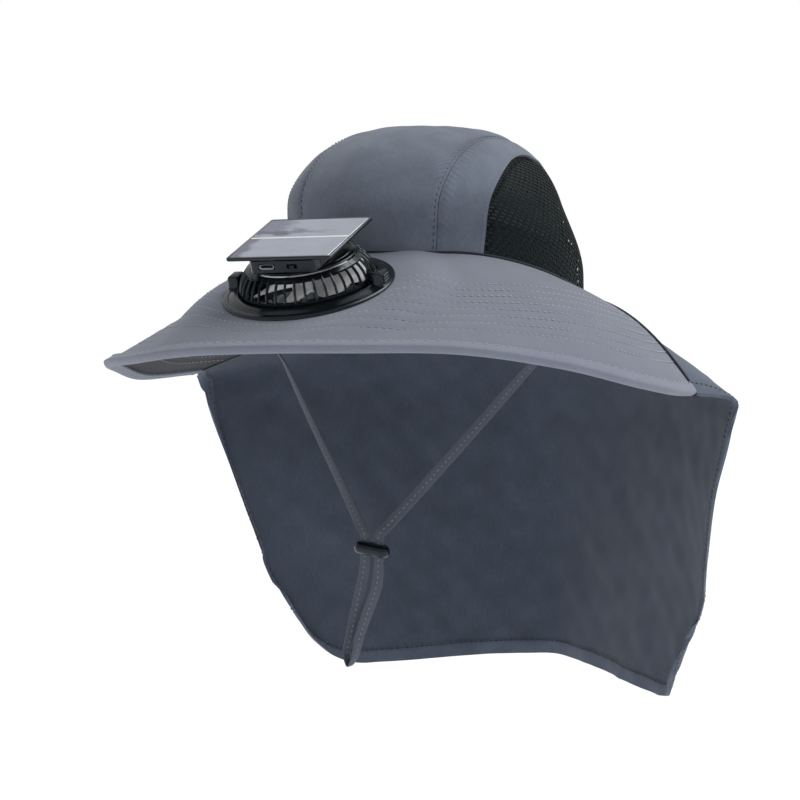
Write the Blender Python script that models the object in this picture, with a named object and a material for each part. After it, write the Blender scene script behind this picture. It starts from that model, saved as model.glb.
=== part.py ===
"""Solar fan hat: a wide-brimmed sun hat with mesh vents, a neck flap, a chin strap and a tilting solar fan.

Metres, +Z up. The wearer looks along -Y and the wearer's left is +X. The origin is the middle of the head
opening, at the height of the seam between crown and brim at the forehead.
"""

import math

import bmesh
import bpy
import numpy as np
from mathutils import Matrix

# Head opening and crown
CROWN_HALF_WIDTH = 0.084
CROWN_HALF_LENGTH = 0.095
CROWN_HEIGHT = 0.0710
CROWN_SQUARENESS = 2.45
CROWN_WALL = 0.0016
DOME_HALF_LENGTH = 0.0870
DOME_LEAN = 0.0135
DOME_LEAN_START = 0.12
DOME_LEAN_END = 0.50
SEAM_DROP = 0.030
SEAM_DROP_START = 35.0
SEAM_DROP_END = 130.0
STRIP_LEAN = 0.587
VENT_START = 48.0
VENT_END = 138.0
VENT_RISE = 47.0
VENT_WALL = 0.0012
VENT_HOLE_ROWS = 4
VENT_HOLE_COLUMNS = 8
VENT_STRAND_SHARE = 0.35
VENT_HOLE_MIN = 0.0032
BAND_HEIGHT = 0.025
BAND_WALL = 0.0014
BAND_CLEARANCE = 0.0008
BAND_BACK_EASE = 0.0046
BAND_COLUMNS = 34
PIECE_GAP = 0.0004

# Brim
BRIM_HALF_WIDTH = 0.171
BRIM_REACH = 0.130
BRIM_WAIST = 0.175
BRIM_DROP = 0.077
BRIM_WALL = 0.0024
BRIM_ARCH = 0.0120
BRIM_ARCH_START = 34.0
BRIM_ARCH_FULL = 97.0
BRIM_SQUARENESS = 1.76
BRIM_INNER_END = 125.0
BRIM_OUTER_END = 103.0
BINDING_WIDTH = 0.0055
BINDING_WALL = 0.0009
BRIM_COLUMNS = 41
BRIM_ROWS = (0.0, 0.17, 0.34, 0.50, 0.66, 0.80, 0.93)

# Neck flap
FLAP_LENGTH = 0.2400
FLAP_HALF_WIDTH = 0.1790
FLAP_DEPTH = 0.1700
FLAP_WALL = 0.0014
FLAP_CROWN_SHARE = 0.39
FLAP_CORNER_WIDTH = 0.38
FLAP_CORNER_RISE = 0.245
FLAP_FOLD_DEPTH = 0.0040
FLAP_SPREAD_POWER = 0.9
FLAP_SLOPE_POWER = 1.5
FLAP_COLUMNS = 33
FLAP_SHARES = (0.0, 0.05, 0.11, 0.20, 0.35, 0.55, 0.78, 1.0)

# Chin strap and its lock
STRAP_WIDTH = 0.0062
STRAP_WALL = 0.0012
STRAP_AZIMUTH = 85.0
STRAP_SPREAD = 0.096
STRAP_FORWARD = 0.078
STRAP_DROP = 0.1665
STRAP_LOOP = 0.062
STRAP_LEG_OFFSET = 0.0044
STRAP_SEWN_GAP = 0.0013
STRAP_SEWN_SHARES = (0.05, 0.11, 0.17)
STRAP_SECTIONS = 83
LOCK_LENGTH = 0.0215
LOCK_DEPTH = 0.0095
LOCK_HEIGHT = 0.0068
LOCK_SLOT_CLEARANCE = 0.0005
LOCK_END_SHARE = 0.48
LOCK_EDGE_SHARE = 0.22

# Fan
FAN_REACH = 0.0540
FAN_YAW = 6.0
SEAT_FLAT_RADIUS = 0.055
SEAT_BLEND_RADIUS = 0.070
FLANGE_RADIUS = 0.0465
FLANGE_HEIGHT = 0.0036
TUBE_WALL = 0.0018
TUBE_DEPTH = 0.0090
HOLE_CLEARANCE = 0.0005
RING_GAP = 0.0008
RING_WIDTH = 0.0050
RING_HEIGHT = 0.0036
CAGE_RADIUS = 0.0370
CAGE_WALL = 0.0018
CAGE_CLEARANCE = 0.0007
CAGE_RIBS = 28
CAGE_SLOT_SHARE = 0.62
INTAKE_RIBS = 12
INTAKE_SLOT_SHARE = 0.60
PIVOT_HEIGHT = 0.0050
PIN_RADIUS = 0.0022
PIN_CLEARANCE = 0.0004
LUG_SPACING = 0.0012
LUG_LENGTH = 0.0062
LUG_WIDTH = 0.0120
LUG_RISE = 0.0068
LUG_BEVEL = 0.0016
LUG_BASE_SHARE = 0.62
CAP_HEIGHT = 0.0016
CAP_BEVEL = 0.0006
MOTOR_RADIUS = 0.0100
MOTOR_HEIGHT = 0.0055
ROTOR_RADIUS = 0.0315
ROTOR_HUB_RADIUS = 0.0088
ROTOR_HEIGHT = 0.0110
ROTOR_BLADES = 7
BLADE_WALL = 0.0013
BLADE_TWIST = 26.0
BLADE_ROOT_SHARE = 0.70
BLADE_SWEEP_SHARE = 0.62
BLADE_ROOT_CHORD = 0.75
BLADE_PITCH_SHARE = 0.90

# Solar panel and its housing
PANEL_SIDE = 0.0600
PANEL_HEIGHT = 0.0030
PANEL_TOP = 0.0290
PANEL_RIM = 0.0013
PANEL_RECESS = 0.0010
CELL_HEIGHT = 0.0006
BUSBAR_WIDTH = 0.0010
HOUSING_WIDTH = 0.0380
HOUSING_DEPTH = 0.0470
HOUSING_SETBACK = 0.0030
HOUSING_CORNER = 0.0030
PORT_WIDTH = 0.0089
PORT_HEIGHT = 0.0032
PORT_DEPTH = 0.0040
PORT_OFFSET = -0.0085
PORT_SHELL_WALL = 0.0004
PORT_SHELL_DEPTH = 0.0030
SWITCH_WIDTH = 0.0060
SWITCH_HEIGHT = 0.0024
SWITCH_DEPTH = 0.0016
SWITCH_OFFSET = 0.0060
KNOB_WIDTH = 0.0026
KNOB_PROUD = 0.0009
KNOB_BEVEL = 0.0003

TOUCH = 0.0003

# Height of the brim's edge: angle from the front in degrees, positive on the wearer's left, and drop as a
# share of BRIM_DROP
EDGE_ANGLE, EDGE_SHARE = range(2)
BRIM_EDGE_ROWS = np.array([
    (-103.0, 1.000),
    (-85.0, 0.990),
    (-70.0, 0.880),
    (-50.0, 0.790),
    (-30.0, 0.715),
    (-15.0, 0.640),
    (0.0, 0.585),
    (20.0, 0.565),
    (40.0, 0.580),
    (60.0, 0.700),
    (80.0, 0.880),
    (90.0, 0.950),
    (103.0, 1.000),
])

# Neck flap, from its seam to its hem: share of the way down, then the front edge's half width (of
# FLAP_HALF_WIDTH), place behind the head's middle (of FLAP_DEPTH) and drop (of FLAP_LENGTH), then the back's
# place and drop in the same shares, and how round the section is
FLAP_ROWS = np.array([
    # down, edge width, edge back, edge drop, back, back drop, roundness
    (0.00, 0.940, -0.054, 0.000, 0.590, 0.000, 2.30),
    (0.10, 1.000, 0.115, 0.022, 0.690, 0.085, 2.20),
    (0.20, 0.978, 0.134, 0.105, 0.790, 0.185, 2.05),
    (0.40, 0.915, 0.176, 0.260, 0.880, 0.385, 1.80),
    (0.60, 0.865, 0.247, 0.425, 0.940, 0.590, 1.60),
    (0.80, 0.812, 0.332, 0.590, 0.975, 0.790, 1.45),
    (1.00, 0.660, 0.440, 0.815, 1.000, 0.997, 1.35),
])

# Soft folds in the flap: place across (-1 the wearer's right edge, 1 the left edge), width in the same shares,
# depth as a share of FLAP_FOLD_DEPTH
FLAP_FOLD_ROWS = np.array([
    (-0.78, 0.16, 0.8),
    (-0.42, 0.20, -0.7),
    (-0.08, 0.18, 0.6),
    (0.30, 0.22, -0.9),
    (0.66, 0.16, 1.0),
    (0.90, 0.10, -0.6),
])

# Chin strap: hand-chosen points, from the wearer's right round the loop to the left. Across as a share of
# STRAP_SPREAD, forward of STRAP_FORWARD, down of STRAP_DROP, then the turn of the strap's width about the
# vertical in degrees
STRAP_FALL_ROWS = np.array([
    (0.980, 0.470, 0.280, 80.0),
    (0.800, 0.570, 0.410, 45.0),
    (0.520, 0.730, 0.615, 28.0),
    (0.235, 0.890, 0.820, 18.0),
    (0.110, 0.965, 0.910, 8.0),
])

# The loop under the lock: across and down as shares of STRAP_LOOP, then the width's turn in degrees
STRAP_LOOP_ROWS = np.array([
    (-0.105, 0.20, 12.0),
    (-0.165, 0.45, 30.0),
    (-0.225, 0.70, 55.0),
    (-0.270, 0.90, 80.0),
    (-0.235, 0.99, 90.0),
    (-0.195, 0.93, 80.0),
    (-0.130, 0.70, 55.0),
    (-0.035, 0.45, 30.0),
    (0.055, 0.20, 12.0),
])

# Fan flange, upper profile: out from the tube's outer face as a share of the way to FLANGE_RADIUS, height as a
# share of FLANGE_HEIGHT
FLANGE_ROWS = np.array([
    (1.00, 0.40),
    (0.88, 0.58),
    (0.32, 0.80),
    (0.00, 1.00),
])

# Fan cage and intake, outer profile: radius and height as shares of CAGE_RADIUS, height from the pivot
CAGE_ROWS = np.array([
    (0.784, 0.330),
    (0.856, 0.286),
    (0.945, 0.162),
    (0.990, 0.014),
    (0.985, -0.108),
    (0.955, -0.265),
])
INTAKE_ROWS = np.array([
    (0.950, -0.281),
    (0.895, -0.420),
    (0.745, -0.590),
    (0.480, -0.650),
    (0.220, -0.660),
    (0.000, -0.660),
])


def clear_scene():
    for item in list(bpy.data.objects):
        bpy.data.objects.remove(item, do_unlink=True)


def make_material(name, colour, roughness, metallic=0.0):
    material = bpy.data.materials.new(name)
    material.use_nodes = True
    shader = material.node_tree.nodes["Principled BSDF"]
    shader.inputs["Base Color"].default_value = (*colour, 1.0)
    shader.inputs["Roughness"].default_value = roughness
    shader.inputs["Metallic"].default_value = metallic
    return material


def add_object(name, bm, material, parent=None, smooth_angle=None):
    """Put a bmesh into the scene as one closed body with outward faces."""
    bmesh.ops.remove_doubles(bm, verts=bm.verts, dist=1e-6)
    bmesh.ops.dissolve_degenerate(bm, edges=bm.edges, dist=1e-6)
    bmesh.ops.recalc_face_normals(bm, faces=bm.faces)
    mesh = bpy.data.meshes.new(name)
    bm.to_mesh(mesh)
    bm.free()
    if smooth_angle:
        mesh.shade_smooth()
        mesh.set_sharp_from_angle(angle=math.radians(smooth_angle))
    body = bpy.data.objects.new(name, mesh)
    body.data.materials.append(material)
    bpy.context.scene.collection.objects.link(body)
    body.parent = parent
    return body


def add_empty(name, location, rotation=(0.0, 0.0, 0.0), parent=None):
    empty = bpy.data.objects.new(name, None)
    empty.location = location
    empty.rotation_euler = rotation
    empty.parent = parent
    bpy.context.scene.collection.objects.link(empty)
    return empty


def add_boolean(body, cutter, operation):
    """Join or cut with another object, which stays as a hidden guide."""
    modifier = body.modifiers.new(operation.title(), "BOOLEAN")
    modifier.operation = operation
    modifier.object = cutter
    modifier.solver = "EXACT"
    cutter.hide_render = True
    cutter.display_type = "WIRE"


def smooth_step(value):
    """0 below 0, 1 above 1, with a level start and end."""
    value = np.clip(value, 0.0, 1.0)
    return value * value * (3.0 - 2.0 * value)


def smooth_table(place, places, values):
    """Read a table of rows along a smooth curve through them."""
    places = np.asarray(places, dtype=float)
    values = np.asarray(values, dtype=float)
    slopes = np.gradient(values, places)
    place = np.clip(place, places[0], places[-1])
    row = np.clip(np.searchsorted(places, place, side="right") - 1, 0, len(places) - 2)
    span = places[row + 1] - places[row]
    share = (place - places[row]) / span
    start = (1.0 + 2.0 * share) * (1.0 - share) ** 2 * values[row]
    end = share ** 2 * (3.0 - 2.0 * share) * values[row + 1]
    leave = share * (1.0 - share) ** 2 * span * slopes[row]
    arrive = share ** 2 * (share - 1.0) * span * slopes[row + 1]
    return start + end + leave + arrive


def grid_body(outer, inner, closed=False, is_open=None):
    """A wall between two grids of points; closed joins the last column to the first, is_open cuts cells out."""
    rows, columns = outer.shape[:2]
    steps = columns if closed else columns - 1
    if is_open is None:
        is_open = np.zeros((rows - 1, steps), dtype=bool)
    bm = bmesh.new()
    skins = []
    for grid in (outer, inner):
        skins.append([[bm.verts.new(point) for point in line] for line in grid])

    def add_face(*corners):
        bm.faces.new([skins[side][row][column % columns] for side, row, column in corners])

    def is_wall(row, column):
        if closed:
            column %= steps
        inside = 0 <= row < rows - 1 and 0 <= column < steps
        return inside and not is_open[row, column]

    for row in range(rows - 1):
        for column in range(steps):
            if is_open[row, column]:
                continue
            a, b = (row, column), (row, column + 1)
            c, d = (row + 1, column + 1), (row + 1, column)
            add_face((0, *a), (0, *b), (0, *c), (0, *d))
            add_face((1, *d), (1, *c), (1, *b), (1, *a))
            borders = (
                (a, b, is_wall(row - 1, column)),
                (b, c, is_wall(row, column + 1)),
                (c, d, is_wall(row + 1, column)),
                (d, a, is_wall(row, column - 1)),
            )
            for start, end, joined in borders:
                if not joined:
                    add_face((0, *end), (0, *start), (1, *start), (1, *end))
    return bm


def grid_normals(points):
    """Unit normals of a grid of points, along rows crossed with columns."""
    down = np.gradient(points, axis=0)
    across = np.gradient(points, axis=1)
    normal = np.cross(across, down)
    return normal / np.linalg.norm(normal, axis=2, keepdims=True)


def turned_body(profile, steps, closed_profile=True):
    """A closed profile of (radius, height) turned about Z."""
    bm = bmesh.new()
    rings = []
    for step in range(steps):
        turn = 2.0 * math.pi * step / steps
        ring = [bm.verts.new((r * math.cos(turn), r * math.sin(turn), z)) for r, z in profile]
        rings.append(ring)
    count = len(profile)
    sides = count if closed_profile else count - 1
    for step in range(steps):
        ring = rings[step]
        after = rings[(step + 1) % steps]
        for side in range(sides):
            other = (side + 1) % count
            bm.faces.new((ring[side], after[side], after[other], ring[other]))
    return bm


def box_body(size, centre):
    bm = bmesh.new()
    bmesh.ops.create_cube(bm, size=1.0)
    bmesh.ops.scale(bm, vec=size, verts=bm.verts)
    bmesh.ops.translate(bm, vec=centre, verts=bm.verts)
    return bm


def rounded_box(size, centre, radius, segments=2):
    """A box with its upright edges rounded."""
    bm = box_body(size, centre)
    upright = []
    for edge in bm.edges:
        along = edge.verts[0].co - edge.verts[1].co
        if abs(along.z) > max(abs(along.x), abs(along.y)):
            upright.append(edge)
    bmesh.ops.bevel(bm, geom=upright, offset=radius, segments=segments, affect="EDGES", profile=0.5)
    return bm


def sunk_box(size, centre, rim, depth, normal_axis, sign):
    """A box with one face set in by a rim and sunk, which leaves a tray."""
    bm = box_body(size, centre)
    face = max(bm.faces, key=lambda item: sign * item.calc_center_median()[normal_axis])
    bmesh.ops.inset_individual(bm, faces=[face], thickness=rim, depth=0.0)
    shift = [0.0, 0.0, 0.0]
    shift[normal_axis] = -sign * depth
    bmesh.ops.translate(bm, vec=shift, verts=face.verts)
    return bm


def seam_drop(azimuth):
    """How far the crown's seam lies below its height at the forehead."""
    turned = np.degrees(np.abs(azimuth))
    return SEAM_DROP * smooth_step((turned - SEAM_DROP_START) / (SEAM_DROP_END - SEAM_DROP_START))


def unit_dome(direction):
    """Directions scaled onto a squared dome of unit size."""
    level = np.hypot(direction[..., 0], direction[..., 1])
    power = CROWN_SQUARENESS
    reach = (level ** power + np.abs(direction[..., 2]) ** power) ** (-1.0 / power)
    return direction * reach[..., None]


def crown_points(direction, inset=0.0):
    """The crown along directions from its middle: a squared dome that leans forward over its longer foot."""
    unit = unit_dome(direction)
    azimuth = np.arctan2(unit[..., 0], -unit[..., 1])
    up = unit[..., 2]
    foot = (1.0 - up) ** 2
    risen = smooth_step((up - DOME_LEAN_START) / (DOME_LEAN_END - DOME_LEAN_START))
    half_length = CROWN_HALF_LENGTH + (DOME_HALF_LENGTH - CROWN_HALF_LENGTH) * risen
    x = unit[..., 0] * (CROWN_HALF_WIDTH - inset)
    y = unit[..., 1] * (half_length - inset) - DOME_LEAN * risen
    z = up * (CROWN_HEIGHT - inset) - foot * (seam_drop(azimuth) + BRIM_WALL)
    return np.stack([x, y, z], axis=-1)


def seam_direction(turn, lean):
    """Directions along the seam between centre strip and side, turn 0 at the front and pi at the back."""
    return np.stack([lean + 0.0 * turn, -np.cos(turn), np.sin(turn)], axis=-1)


def dome_direction(azimuth, rise):
    """Directions by azimuth from the front and rise from the seam."""
    azimuth, rise = np.broadcast_arrays(azimuth, rise)
    level = np.cos(rise)
    return np.stack([level * np.sin(azimuth), -level * np.cos(azimuth), np.sin(rise)], axis=-1)


def between(first, last, share):
    """Directions across a panel from one edge to the other."""
    share = np.asarray(share)[:, None, None]
    return (1.0 - share) * first[None] + share * last[None]


def strand_shares(holes):
    """Shares of a length cut into equal holes with strands between them."""
    edges = []
    for hole in range(holes):
        edges += [(hole + 0.5 * VENT_STRAND_SHARE) / holes, (hole + 1.0 - 0.5 * VENT_STRAND_SHARE) / holes]
    return np.array([0.0] + edges + [1.0])


def vent_arch(share, widen):
    """The arched edge of the mesh vent, share 0 at its front foot and 1 at its back foot."""
    middle = 0.5 * (VENT_START + VENT_END)
    half = 0.5 * (VENT_END - VENT_START) + np.degrees(widen)
    turn = np.pi * share
    azimuth = np.radians(middle - half * np.cos(turn))
    rise = (np.radians(VENT_RISE) + widen) * np.sin(turn)
    return unit_dome(dome_direction(azimuth, rise)), azimuth


def crown_wall(direction, wall):
    return crown_points(direction), crown_points(direction, wall)


def mirror_x(points):
    return points * np.array([-1.0, 1.0, 1.0])


def add_crown_center(material):
    """The strip from the forehead over the top to the back."""
    turn = np.pi * strand_shares(VENT_HOLE_COLUMNS)
    gap = 0.5 * PIECE_GAP / CROWN_HALF_WIDTH
    right = unit_dome(seam_direction(turn, STRIP_LEAN - gap))
    strip = between(mirror_x(right), right, np.linspace(0.0, 1.0, 8))
    outer, inner = crown_wall(strip, CROWN_WALL)
    add_object("crown_center", grid_body(outer, inner), material, smooth_angle=50)


def add_crown_side(name, side, material):
    """The panel between the centre strip and the mesh vent."""
    share = strand_shares(VENT_HOLE_COLUMNS)
    gap = 0.5 * PIECE_GAP / CROWN_HALF_WIDTH
    seam = unit_dome(seam_direction(np.pi * share, STRIP_LEAN + gap))
    arch = vent_arch(share, gap)[0]
    panel = between(seam, arch, np.linspace(0.0, 1.0, 5)) * np.array([side, 1.0, 1.0])
    outer, inner = crown_wall(panel, CROWN_WALL)
    add_object(name, grid_body(outer, inner), material, smooth_angle=50)


def add_mesh_vent(name, side, material):
    """The net in the crown's side: a wall cut through by its larger holes."""
    across = strand_shares(VENT_HOLE_COLUMNS)
    down = strand_shares(VENT_HOLE_ROWS)
    gap = 0.5 * PIECE_GAP / CROWN_HALF_WIDTH
    arch, azimuth = vent_arch(across, -gap)
    foot = unit_dome(dome_direction(azimuth, 0.0))
    panel = between(arch, foot, down) * np.array([side, 1.0, 1.0])
    outer, inner = crown_wall(panel, VENT_WALL)
    hole_rows = np.arange(len(down) - 1) % 2 == 1
    hole_columns = np.arange(len(across) - 1) % 2 == 1
    height = np.linalg.norm(outer[1:] - outer[:-1], axis=2)
    large = np.minimum(height[:, 1:], height[:, :-1]) > VENT_HOLE_MIN
    is_open = hole_rows[:, None] & hole_columns[None] & large
    add_object(name, grid_body(outer, inner, is_open=is_open), material)


def add_sweatband(material):
    """The band round the head, inside the crown's foot."""
    azimuth = np.linspace(-np.pi, np.pi, BAND_COLUMNS, endpoint=False)
    foot = seam_drop(azimuth) + BRIM_WALL
    up = np.array([1.0, 0.5, 0.0])[:, None] * BAND_HEIGHT / (CROWN_HEIGHT + 2.0 * foot)
    level = (1.0 - up ** CROWN_SQUARENESS) ** (1.0 / CROWN_SQUARENESS)
    direction = dome_direction(azimuth[None], np.arctan2(up, level))
    ease = BAND_BACK_EASE * smooth_step(-np.cos(azimuth))
    inset = CROWN_WALL + BAND_CLEARANCE + ease
    outer = crown_points(direction, inset)
    inner = crown_points(direction, inset + BAND_WALL)
    add_object("sweatband", grid_body(outer, inner, closed=True), material, smooth_angle=50)


def brim_front():
    return -(CROWN_HALF_LENGTH + BRIM_REACH)


def brim_slope():
    """The brim's slope at the front, from the crown's seam to the edge."""
    share = np.interp(0.0, BRIM_EDGE_ROWS[:, EDGE_ANGLE], BRIM_EDGE_ROWS[:, EDGE_SHARE])
    return math.atan2(share * BRIM_DROP, BRIM_REACH)


def fan_seat():
    """Centre of the fan on the brim's upper face."""
    slope = brim_slope()
    forward = CROWN_HALF_LENGTH + FAN_REACH * math.cos(slope)
    return np.array([0.0, -forward, -FAN_REACH * math.sin(slope)])


def brim_edge(angle):
    """The brim's outline by angle from the front."""
    sine, cosine = np.sin(angle), np.cos(angle)
    power = BRIM_SQUARENESS
    shrink = (np.abs(sine) ** power + np.abs(cosine) ** power) ** (-1.0 / power)
    shrink = np.where(cosine > 0.0, shrink, 1.0)
    middle = brim_front() + BRIM_WAIST
    turned = np.degrees(angle)
    drop = BRIM_DROP * smooth_table(turned, BRIM_EDGE_ROWS[:, EDGE_ANGLE], BRIM_EDGE_ROWS[:, EDGE_SHARE])
    x = BRIM_HALF_WIDTH * sine * shrink
    y = middle - BRIM_WAIST * cosine * shrink
    return np.stack([x, y, -drop], axis=-1)


def brim_points(azimuth, out):
    """The brim's upper face: azimuth at the crown, out from 0 at the seam to 1 at the edge."""
    foot = crown_points(dome_direction(azimuth, 0.0), -TOUCH)
    foot[..., 2] = -seam_drop(azimuth)
    edge = brim_edge(azimuth * BRIM_OUTER_END / BRIM_INNER_END)
    points = foot + (edge - foot) * out[..., None]
    side = smooth_step((np.degrees(azimuth) - BRIM_ARCH_START) / (BRIM_ARCH_FULL - BRIM_ARCH_START))
    bulge = BRIM_ARCH * side * 4.0 * out * (1.0 - out)
    points[..., 2] += bulge
    seat = fan_seat()
    slope = math.tan(brim_slope())
    plane = seat[2] + slope * (points[..., 1] - seat[1])
    away = np.hypot(points[..., 0] - seat[0], points[..., 1] - seat[1])
    flat = smooth_step((SEAT_BLEND_RADIUS - away) / (SEAT_BLEND_RADIUS - SEAT_FLAT_RADIUS))
    points[..., 2] += (plane - points[..., 2]) * flat
    return points


def brim_grid(shares):
    end = math.radians(BRIM_INNER_END)
    azimuth = np.linspace(-end, end, BRIM_COLUMNS)
    out = np.asarray(shares)
    return brim_points(azimuth[None] + 0.0 * out[:, None], out[:, None] + 0.0 * azimuth[None])


def brim_under(azimuth, shares, depth):
    """Points at one azimuth, at a depth below the brim's upper face and square to it."""
    across = azimuth + np.radians([-1.0, 0.0, 1.0])
    patch = brim_points(across[None] + 0.0 * shares[:, None], shares[:, None] + 0.0 * across[None])
    return (patch + grid_normals(patch) * depth)[:, 1]


def add_brim(material, hole_cutter):
    """The stiff visor round the front and sides, with the fan's hole."""
    reach = 1.0 - (BINDING_WALL + TOUCH) / BRIM_REACH
    upper = brim_grid([*BRIM_ROWS, reach])
    normal = -grid_normals(upper)
    normal[0] = (0.0, 0.0, 1.0)
    lower = upper - normal * BRIM_WALL
    brim = add_object("brim", grid_body(upper, lower), material, smooth_angle=50)
    add_boolean(brim, hole_cutter, "DIFFERENCE")


def add_binding(material):
    """The folded tape round the brim's edge, an open channel that the brim's edge stands in."""
    rows = brim_grid([1.0 - 2.0 * BINDING_WIDTH / BRIM_REACH, 1.0 - BINDING_WIDTH / BRIM_REACH, 1.0])
    normal = -grid_normals(rows)[1]
    edge = rows[2]
    out = rows[2] - rows[1]
    out /= np.linalg.norm(out, axis=1, keepdims=True)
    outer_top = TOUCH + BINDING_WALL
    outer_bottom = -BRIM_WALL - TOUCH - BINDING_WALL
    profile = (
        (0.0, outer_top - 0.5 * BINDING_WALL),
        (-0.5 * BINDING_WALL, outer_top),
        (-BINDING_WIDTH, outer_top),
        (-BINDING_WIDTH, TOUCH),
        (-BINDING_WALL, TOUCH),
        (-BINDING_WALL, -BRIM_WALL - TOUCH),
        (-BINDING_WIDTH, -BRIM_WALL - TOUCH),
        (-BINDING_WIDTH, outer_bottom),
        (-0.5 * BINDING_WALL, outer_bottom),
        (0.0, outer_bottom + 0.5 * BINDING_WALL),
    )
    rings = [edge + out * along + normal * up for along, up in profile]
    add_object("brim_binding", swept_body(np.stack(rings, axis=1)), material, smooth_angle=50)


def swept_body(sections):
    """Join a row of closed sections into one body with flat ends."""
    count, corners = sections.shape[:2]
    bm = bmesh.new()
    verts = [[bm.verts.new(point) for point in section] for section in sections]
    for step in range(count - 1):
        for corner in range(corners):
            other = (corner + 1) % corners
            here, after = verts[step], verts[step + 1]
            bm.faces.new((here[corner], here[other], after[other], after[corner]))
    bm.faces.new(verts[0][::-1])
    bm.faces.new(verts[-1])
    return bm


def brim_back_edge(out):
    """Points off the brim's back edge, clear of it by the flap's wall and a small gap."""
    end = np.full_like(out, math.radians(BRIM_INNER_END))
    edge = brim_points(end, out)
    back = brim_points(end + 0.01, out) - edge
    return edge + back / np.linalg.norm(back, axis=-1, keepdims=True) * (FLAP_WALL + PIECE_GAP)


def flap_seam(across):
    """The flap's upper edge: round the crown's back, then along the brim's back edges to its corners."""
    share = np.abs(across)
    back = math.pi - math.radians(BRIM_INNER_END) - (FLAP_WALL + PIECE_GAP) / CROWN_HALF_WIDTH
    azimuth = math.pi - back * np.clip(share / FLAP_CROWN_SHARE, 0.0, 1.0)
    crown = crown_points(dome_direction(azimuth, 0.0), -(FLAP_WALL + PIECE_GAP))
    crown[..., 2] += BRIM_WALL
    brim = brim_back_edge(np.clip((share - FLAP_CROWN_SHARE) / (1.0 - FLAP_CROWN_SHARE), 0.0, 1.0))
    points = np.where((share > FLAP_CROWN_SHARE)[..., None], brim, crown)
    points[..., 0] *= np.sign(across)
    return points


def flap_points(across, down):
    """The neck flap: across from -1 to 1 between its front edges, down from 0 at the seam to 1 at the hem."""
    columns = FLAP_ROWS.T
    place = columns[0]
    edge_x, edge_y, edge_z, back_y, back_z, round_ = [
        smooth_table(down, place, column) for column in columns[1:]
    ]
    share = np.abs(across)
    x = FLAP_HALF_WIDTH * edge_x * np.sin(share * np.pi / 2.0) ** FLAP_SPREAD_POWER * np.sign(across)
    width = np.clip(np.abs(x) / (FLAP_HALF_WIDTH * edge_x), 0.0, 1.0)
    y = FLAP_DEPTH * (edge_y + (back_y - edge_y) * (1.0 - width ** round_))
    sideways = width ** FLAP_SLOPE_POWER
    start = -SEAM_DROP + (SEAM_DROP - BRIM_DROP) * sideways
    z = start - FLAP_LENGTH * (back_z + (edge_z - back_z) * sideways)
    fold = 0.0
    for middle, spread, depth in FLAP_FOLD_ROWS:
        fold = fold + depth * np.exp(-((across - middle) / spread) ** 2)
    outward = FLAP_FOLD_DEPTH * fold * smooth_step(down)
    y = y + outward * (1.0 - width)
    x = x + outward * width * np.sign(across)
    hanging = np.stack([x, y, z], axis=-1)
    seam = flap_seam(across)
    let_go = smooth_step(down / FLAP_ROWS[1, 0])[..., None]
    return seam * (1.0 - let_go) + hanging * let_go


def flap_end(across):
    """How far down each column reaches: the lower corners are rounded."""
    past = np.clip((np.abs(across) - (1.0 - FLAP_CORNER_WIDTH)) / FLAP_CORNER_WIDTH, 0.0, 1.0)
    return 1.0 - FLAP_CORNER_RISE * (1.0 - np.sqrt(1.0 - 0.98 * past ** 2))


def add_neck_flap(material):
    """The cloth that hangs from the crown's back and the brim's back edges."""
    across = np.linspace(-1.0, 1.0, FLAP_COLUMNS)
    down = np.array(FLAP_SHARES)[:, None] * flap_end(across)[None]
    outer = flap_points(across[None] + 0.0 * down, down)
    normal = grid_normals(outer)
    inner = outer - normal * FLAP_WALL
    add_object("neck_flap", grid_body(outer, inner), material, smooth_angle=50)


def strap_side(side):
    """The strap from its sewn end under the brim down through the lock, on one side."""
    shares = np.array(STRAP_SEWN_SHARES)
    depth = BRIM_WALL + STRAP_SEWN_GAP + STRAP_WALL * np.array([0.5, 0.5, 1.5])
    lying = brim_under(math.radians(side * STRAP_AZIMUTH), shares, depth[:, None, None])
    lying = np.c_[lying, np.full(len(shares), side * 90.0)]
    scale = np.array([side * STRAP_SPREAD, -STRAP_FORWARD, -STRAP_DROP, side])
    leg = [
        (side * STRAP_LEG_OFFSET, -STRAP_FORWARD, -STRAP_DROP + rise * LOCK_HEIGHT, 0.0)
        for rise in (1.0, 0.5, -0.5, -1.0)
    ]
    return np.vstack([lying, STRAP_FALL_ROWS * scale, leg])


def strap_route():
    """Points along the strap with the turn of its width, from the wearer's right round to the left."""
    loop = STRAP_LOOP_ROWS * np.array([STRAP_LOOP, -STRAP_LOOP, 1.0])
    loop = np.c_[loop[:, 0], np.full(len(loop), -STRAP_FORWARD), loop[:, 1] - STRAP_DROP - LOCK_HEIGHT, loop[:, 2]]
    return np.vstack([strap_side(-1.0), loop, strap_side(1.0)[::-1]])


def strap_sections():
    route = strap_route()
    length = np.r_[0.0, np.cumsum(np.linalg.norm(np.diff(route[:, :3], axis=0), axis=1))]
    place = np.linspace(0.0, length[-1], STRAP_SECTIONS)
    path = np.stack([smooth_table(place, length, route[:, axis]) for axis in range(3)], axis=-1)
    turn = np.radians(smooth_table(place, length, route[:, 3]))
    along = np.gradient(path, axis=0)
    along /= np.linalg.norm(along, axis=1, keepdims=True)
    width = np.stack([np.cos(turn), np.sin(turn), 0.0 * turn], axis=-1)
    width -= along * np.sum(width * along, axis=1, keepdims=True)
    width /= np.linalg.norm(width, axis=1, keepdims=True)
    face = np.cross(along, width)
    corners = ((-0.5, -0.5), (0.5, -0.5), (0.5, 0.5), (-0.5, 0.5))
    rings = [path + width * w * STRAP_WIDTH + face * f * STRAP_WALL for w, f in corners]
    return np.stack(rings, axis=1)


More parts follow.
